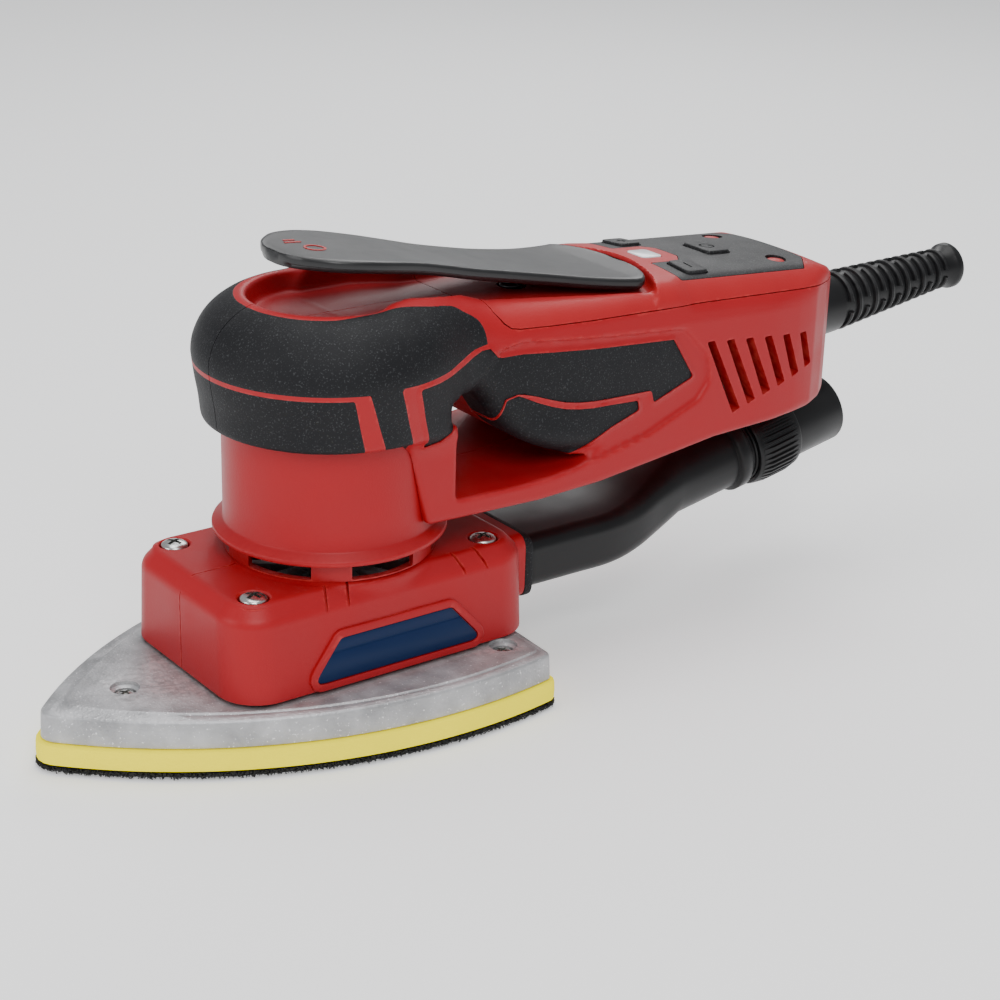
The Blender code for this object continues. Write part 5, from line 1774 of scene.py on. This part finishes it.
@dataclass
class DustOutlet:
    """The duct from the shroud, its seal, and the turning outlet with its knurled collar."""

    angle: float = math.radians(10.5)
    start: tuple[float, float] = (150.0, 42.9)
    radius: float = 11.7
    sections: list[tuple[float, float, float, float, float]] = field(default_factory=lambda: [
        (61.2, 20.0, 24.3, 41.5, 4.6), (61.8, 20.3, 24.0, 41.8, 5.0), (80.0, 20.3, 24.0, 41.8, 5.0),
        (96.0, 20.2, 24.0, 41.9, 5.2), (108.0, 18.6, 24.8, 43.6, 6.5), (120.0, 15.6, 26.8, 47.4, 8.0),
        (132.0, 13.2, 29.4, 51.4, 10.5)])

    def ring(self, x: float, half: float, low: float, high: float, radius: float, inset: float = 0.0) -> list:
        """A rounded rectangle across the duct at x."""
        half, low, high = half - inset, low + inset, high - inset
        reach = min(max(radius - inset, 1.0), half, (high - low) / 2)
        middles = ((half - reach, high - reach), (-half + reach, high - reach), (-half + reach, low + reach),
                   (half - reach, low + reach))
        return [(x, y + reach * math.cos(angle), z + reach * math.sin(angle))
                for (y, z), quarter in zip(middles, self.quarters()) for angle in quarter]

    @staticmethod
    def quarters(steps: int = 12) -> list[list[float]]:
        """The angles round each quarter of a ring, kept clear of its ends so that no two points meet."""
        return [[math.radians(start + 2 + 86 * i / steps) for i in range(steps + 1)] for start in (0, 90, 180, 270)]

    def tube_ring(self, along: float, radius: float) -> list:
        """A circle square to the outlet's axis."""
        x = self.start[0] + along * math.cos(self.angle)
        z = self.start[1] + along * math.sin(self.angle)
        lean, rise = math.sin(self.angle), math.cos(self.angle)
        return [(x - radius * math.sin(angle) * lean, radius * math.cos(angle), z + radius * math.sin(angle) * rise)
                for quarter in self.quarters() for angle in quarter]

    def turned_ring(self, name: str, profile: Outline) -> Piece:
        """A closed (radius, along) section turned about the outlet's axis."""
        return backwards(turned(name, profile, 112), self.start, self.angle)

    def duct(self, inset: float) -> Piece:
        """The duct's outer body, or the air's path when it is inset."""
        fine = spline(self.sections[1:], 6)
        rings = [self.ring(*self.sections[0], inset=inset)] + [self.ring(*section, inset=inset) for section in fine]
        if inset:
            rings[0] = [(x - 3.0, y, z) for x, y, z in rings[0]]
        rings += [self.tube_ring(-6.0, self.radius - inset)]
        if inset:
            return loft("path", rings + [self.tube_ring(18.0, self.radius - inset)])
        neck = [(6.6, 11.7), (7.0, 12.2), (7.2, 13.0), (7.6, 13.3), (11.4, 13.3), (11.8, 13.0), (12.0, 12.2),
                (12.2, 11.7), (14.0, 11.7)]
        return loft("dust_duct_skin", rings + [self.tube_ring(*step) for step in neck])

    def build(self, knurls: GeometryTree) -> None:
        """Builds the outlet's pieces."""
        seal = prism("duct_seal_skin", rounded([(-22.4, 22.8), (22.4, 22.8), (22.4, 43.6), (-22.4, 43.6)], 5, 8),
                     57.9, 60.9, "YZ")
        soft_edges(seal, 0.4, 2)
        carve(seal, prism("path", rounded([(-19, 26.4), (19, 26.4), (19, 40), (-19, 40)], 3, 4), 50.0, 64.0, "YZ"))
        fit(seal, RUBBER, "housing", "duct_seal")
        duct = self.duct(0.0)
        carve(duct, self.duct(2.0))
        fit(duct, BLACK, "housing", "dust_duct", smooth=50.0)
        tube = self.turned_ring("hose_outlet_skin", [(10.2, 14.4), (11.8, 14.4), (12.2, 14.8), (12.2, 54.6),
                                                     (11.9, 55.3), (11.3, 55.5), (10.3, 55.5), (10.0, 55.1)])
        fit(tube, BLACK, "hose_swivel", "hose_outlet", smooth=40.0)
        collar = self.turned_ring("collar", [(12.5, 15.0), (13.6, 15.0), (14.0, 15.6), (14.0, 33.2), (13.5, 34.0),
                                             (12.5, 34.0)])
        ribs = knurls.run("ribs", [(0, 0, 0)], BLACK, Count=44, Radius=0.01412, Length=0.0158, Rib_width=0.0012,
                          Rib_height=0.00062)
        shift(ribs, 0, 0, 24.4)
        made = merged("hose_collar_skin", [collar, backwards(ribs, self.start, self.angle)])
        fit(made, BLACK, "hose_swivel", "hose_collar")


@dataclass
class CableBoot:
    """The ribbed strain relief that leaves the tail."""

    start: tuple[float, float] = (181.0, 89.8)
    angle: float = math.radians(4.2)
    profile: Outline = field(default_factory=lambda: [
        (-3.0, 12.2), (-0.2, 12.4), (0.2, 11.4), (1.2, 10.9), (22.0, 10.5), (23.0, 9.4), (34.0, 8.9), (56.0, 7.4),
        (74.0, 6.4), (78.0, 6.6), (80.0, 7.9), (80.8, 8.2), (82.4, 8.2), (83.0, 7.8), (83.2, 7.2)])
    hole: float = 3.6
    pitch: float = 4.15

    def build(self, ribs: GeometryTree) -> None:
        """Builds the boot."""
        profile = [(radius, along) for along, radius in self.profile]
        core = turned("core", [*profile, (self.hole, 83.2), (self.hole, -3.0)], 96)
        rings = ribs.run("rings", [(0, 0, 0)], BLACK, Count=13, Pitch=self.pitch * MM, First_radius=0.0094,
                         Last_radius=0.0066, Thickness=0.00115, Sweep=2.75)
        shift(rings, 0, 0, 25.5)
        made = merged("cable_boot_skin", [core, rings])
        fit(backwards(made, self.start, self.angle), BLACK, "housing", "cable_boot", smooth=40.0)


# ---- what stays of the frame, and the stage


KEPT = {"red_plastic": RED, "black_plastic": BLACK, "black_rubber": RUBBER, "cast_aluminium": CAST, "steel": STEEL,
        "copper_wire": COPPER, "yellow_foam": FOAM, "hook_cloth": HOOKS, "navy_plate": NAVY,
        "circuit_board": BOARD, "white_lens": LENS}


def dress_frame() -> None:
    """Gives every node of the frame the finish of its slot."""
    for name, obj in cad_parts.items():
        for i, slot in enumerate(obj.material_slots):
            key = (slot.material.name if slot.material else "red_plastic").split(".")[0]
            obj.material_slots[i].material = KEPT[key].material()


@dataclass
class Stage:
    """The pale floor, the soft lights and the camera."""

    azimuth: float = math.radians(-37.06)
    elevation: float = math.radians(21.97)
    roll: float = math.radians(1.63)
    target: tuple[float, float, float] = (0.06427, 0.00023, 0.0476)
    distance: float = 0.7067
    lens: float = 79.7

    def build(self) -> None:
        """Builds the stage."""
        corners = [(-40, -40, 0), (40, -40, 0), (40, 40, 0), (-40, 40, 0)]
        floor = mesh_object("studio_floor", corners, [(0, 1, 2, 3)])
        pale = bpy.data.materials.new("pale floor")
        pale.use_nodes = True
        set_values(pale.node_tree.nodes["Principled BSDF"], {
            "Base Color": (0.86, 0.86, 0.86, 1.0), "Roughness": 0.9, "Emission Color": (1.0, 1.0, 1.0, 1.0),
            "Emission Strength": 0.38})
        floor.data.materials.append(pale)
        world = bpy.data.worlds.new("studio")
        world.use_nodes = True
        set_values(world.node_tree.nodes["Background"], {"Color": (0.95, 0.97, 1.0, 1.0), "Strength": 0.46})
        bpy.context.scene.world = world
        self.softbox("key", (-0.35, -0.75, 0.85), 0.55, 6.6)
        self.softbox("top", (0.15, 0.10, 1.05), 0.8, 7.5)
        self.softbox("left", (-0.95, 0.05, 0.45), 0.5, 2.6)
        self.softbox("back", (0.75, 0.75, 0.75), 0.5, 3.2)
        self.camera()

    def softbox(self, name: str, place: Sequence[float], size: float, watts: float) -> None:
        """Adds a square light that points at the object."""
        light = bpy.data.lights.new(name, "AREA")
        light.shape = "SQUARE"
        light.size = size
        light.energy = watts
        made = bpy.data.objects.new(name, light)
        made.location = place
        aim = Vector(self.target) - Vector(place)
        made.rotation_euler = aim.to_track_quat("-Z", "Y").to_euler()
        bpy.context.scene.collection.objects.link(made)

    def camera(self) -> None:
        """Adds the camera."""
        a, e, r = self.azimuth, self.elevation, self.roll
        back = Vector((math.sin(a) * math.cos(e), -math.cos(a) * math.cos(e), math.sin(e)))
        right = Vector((math.cos(a), math.sin(a), 0.0))
        up = back.cross(right)
        across = right * math.cos(r) + up * math.sin(r)
        upright = up * math.cos(r) - right * math.sin(r)
        place = Vector(self.target) + back * self.distance
        data = bpy.data.cameras.new("camera")
        data.lens = self.lens
        data.clip_start = 0.01
        made = bpy.data.objects.new("camera", data)
        made.matrix_world = Matrix((across, upright, back)).transposed().to_4x4()
        made.location = place
        bpy.context.scene.collection.objects.link(made)
        bpy.context.scene.camera = made


def main() -> None:
    """Builds every piece in order."""
    logging.basicConfig(level=logging.INFO, format="%(message)s")
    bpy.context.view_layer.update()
    Stage().build()
    screws, knurls, ribs, hooks = screw_tree(), knurl_tree(), boot_rib_tree(), hook_tree()
    dress_frame()
    form = BodyForm()
    body = Body(form)
    body.build(screws)
    Cover(form, body.seam).build(body.whole)
    discard(body.whole)
    discard(body.under)
    Shroud().build(screws)
    Column().build()
    Pad().build(screws, hooks)
    Lever().build()
    DustOutlet().build(knurls)
    CableBoot().build(ribs)


if __name__ == "__main__":
    main()
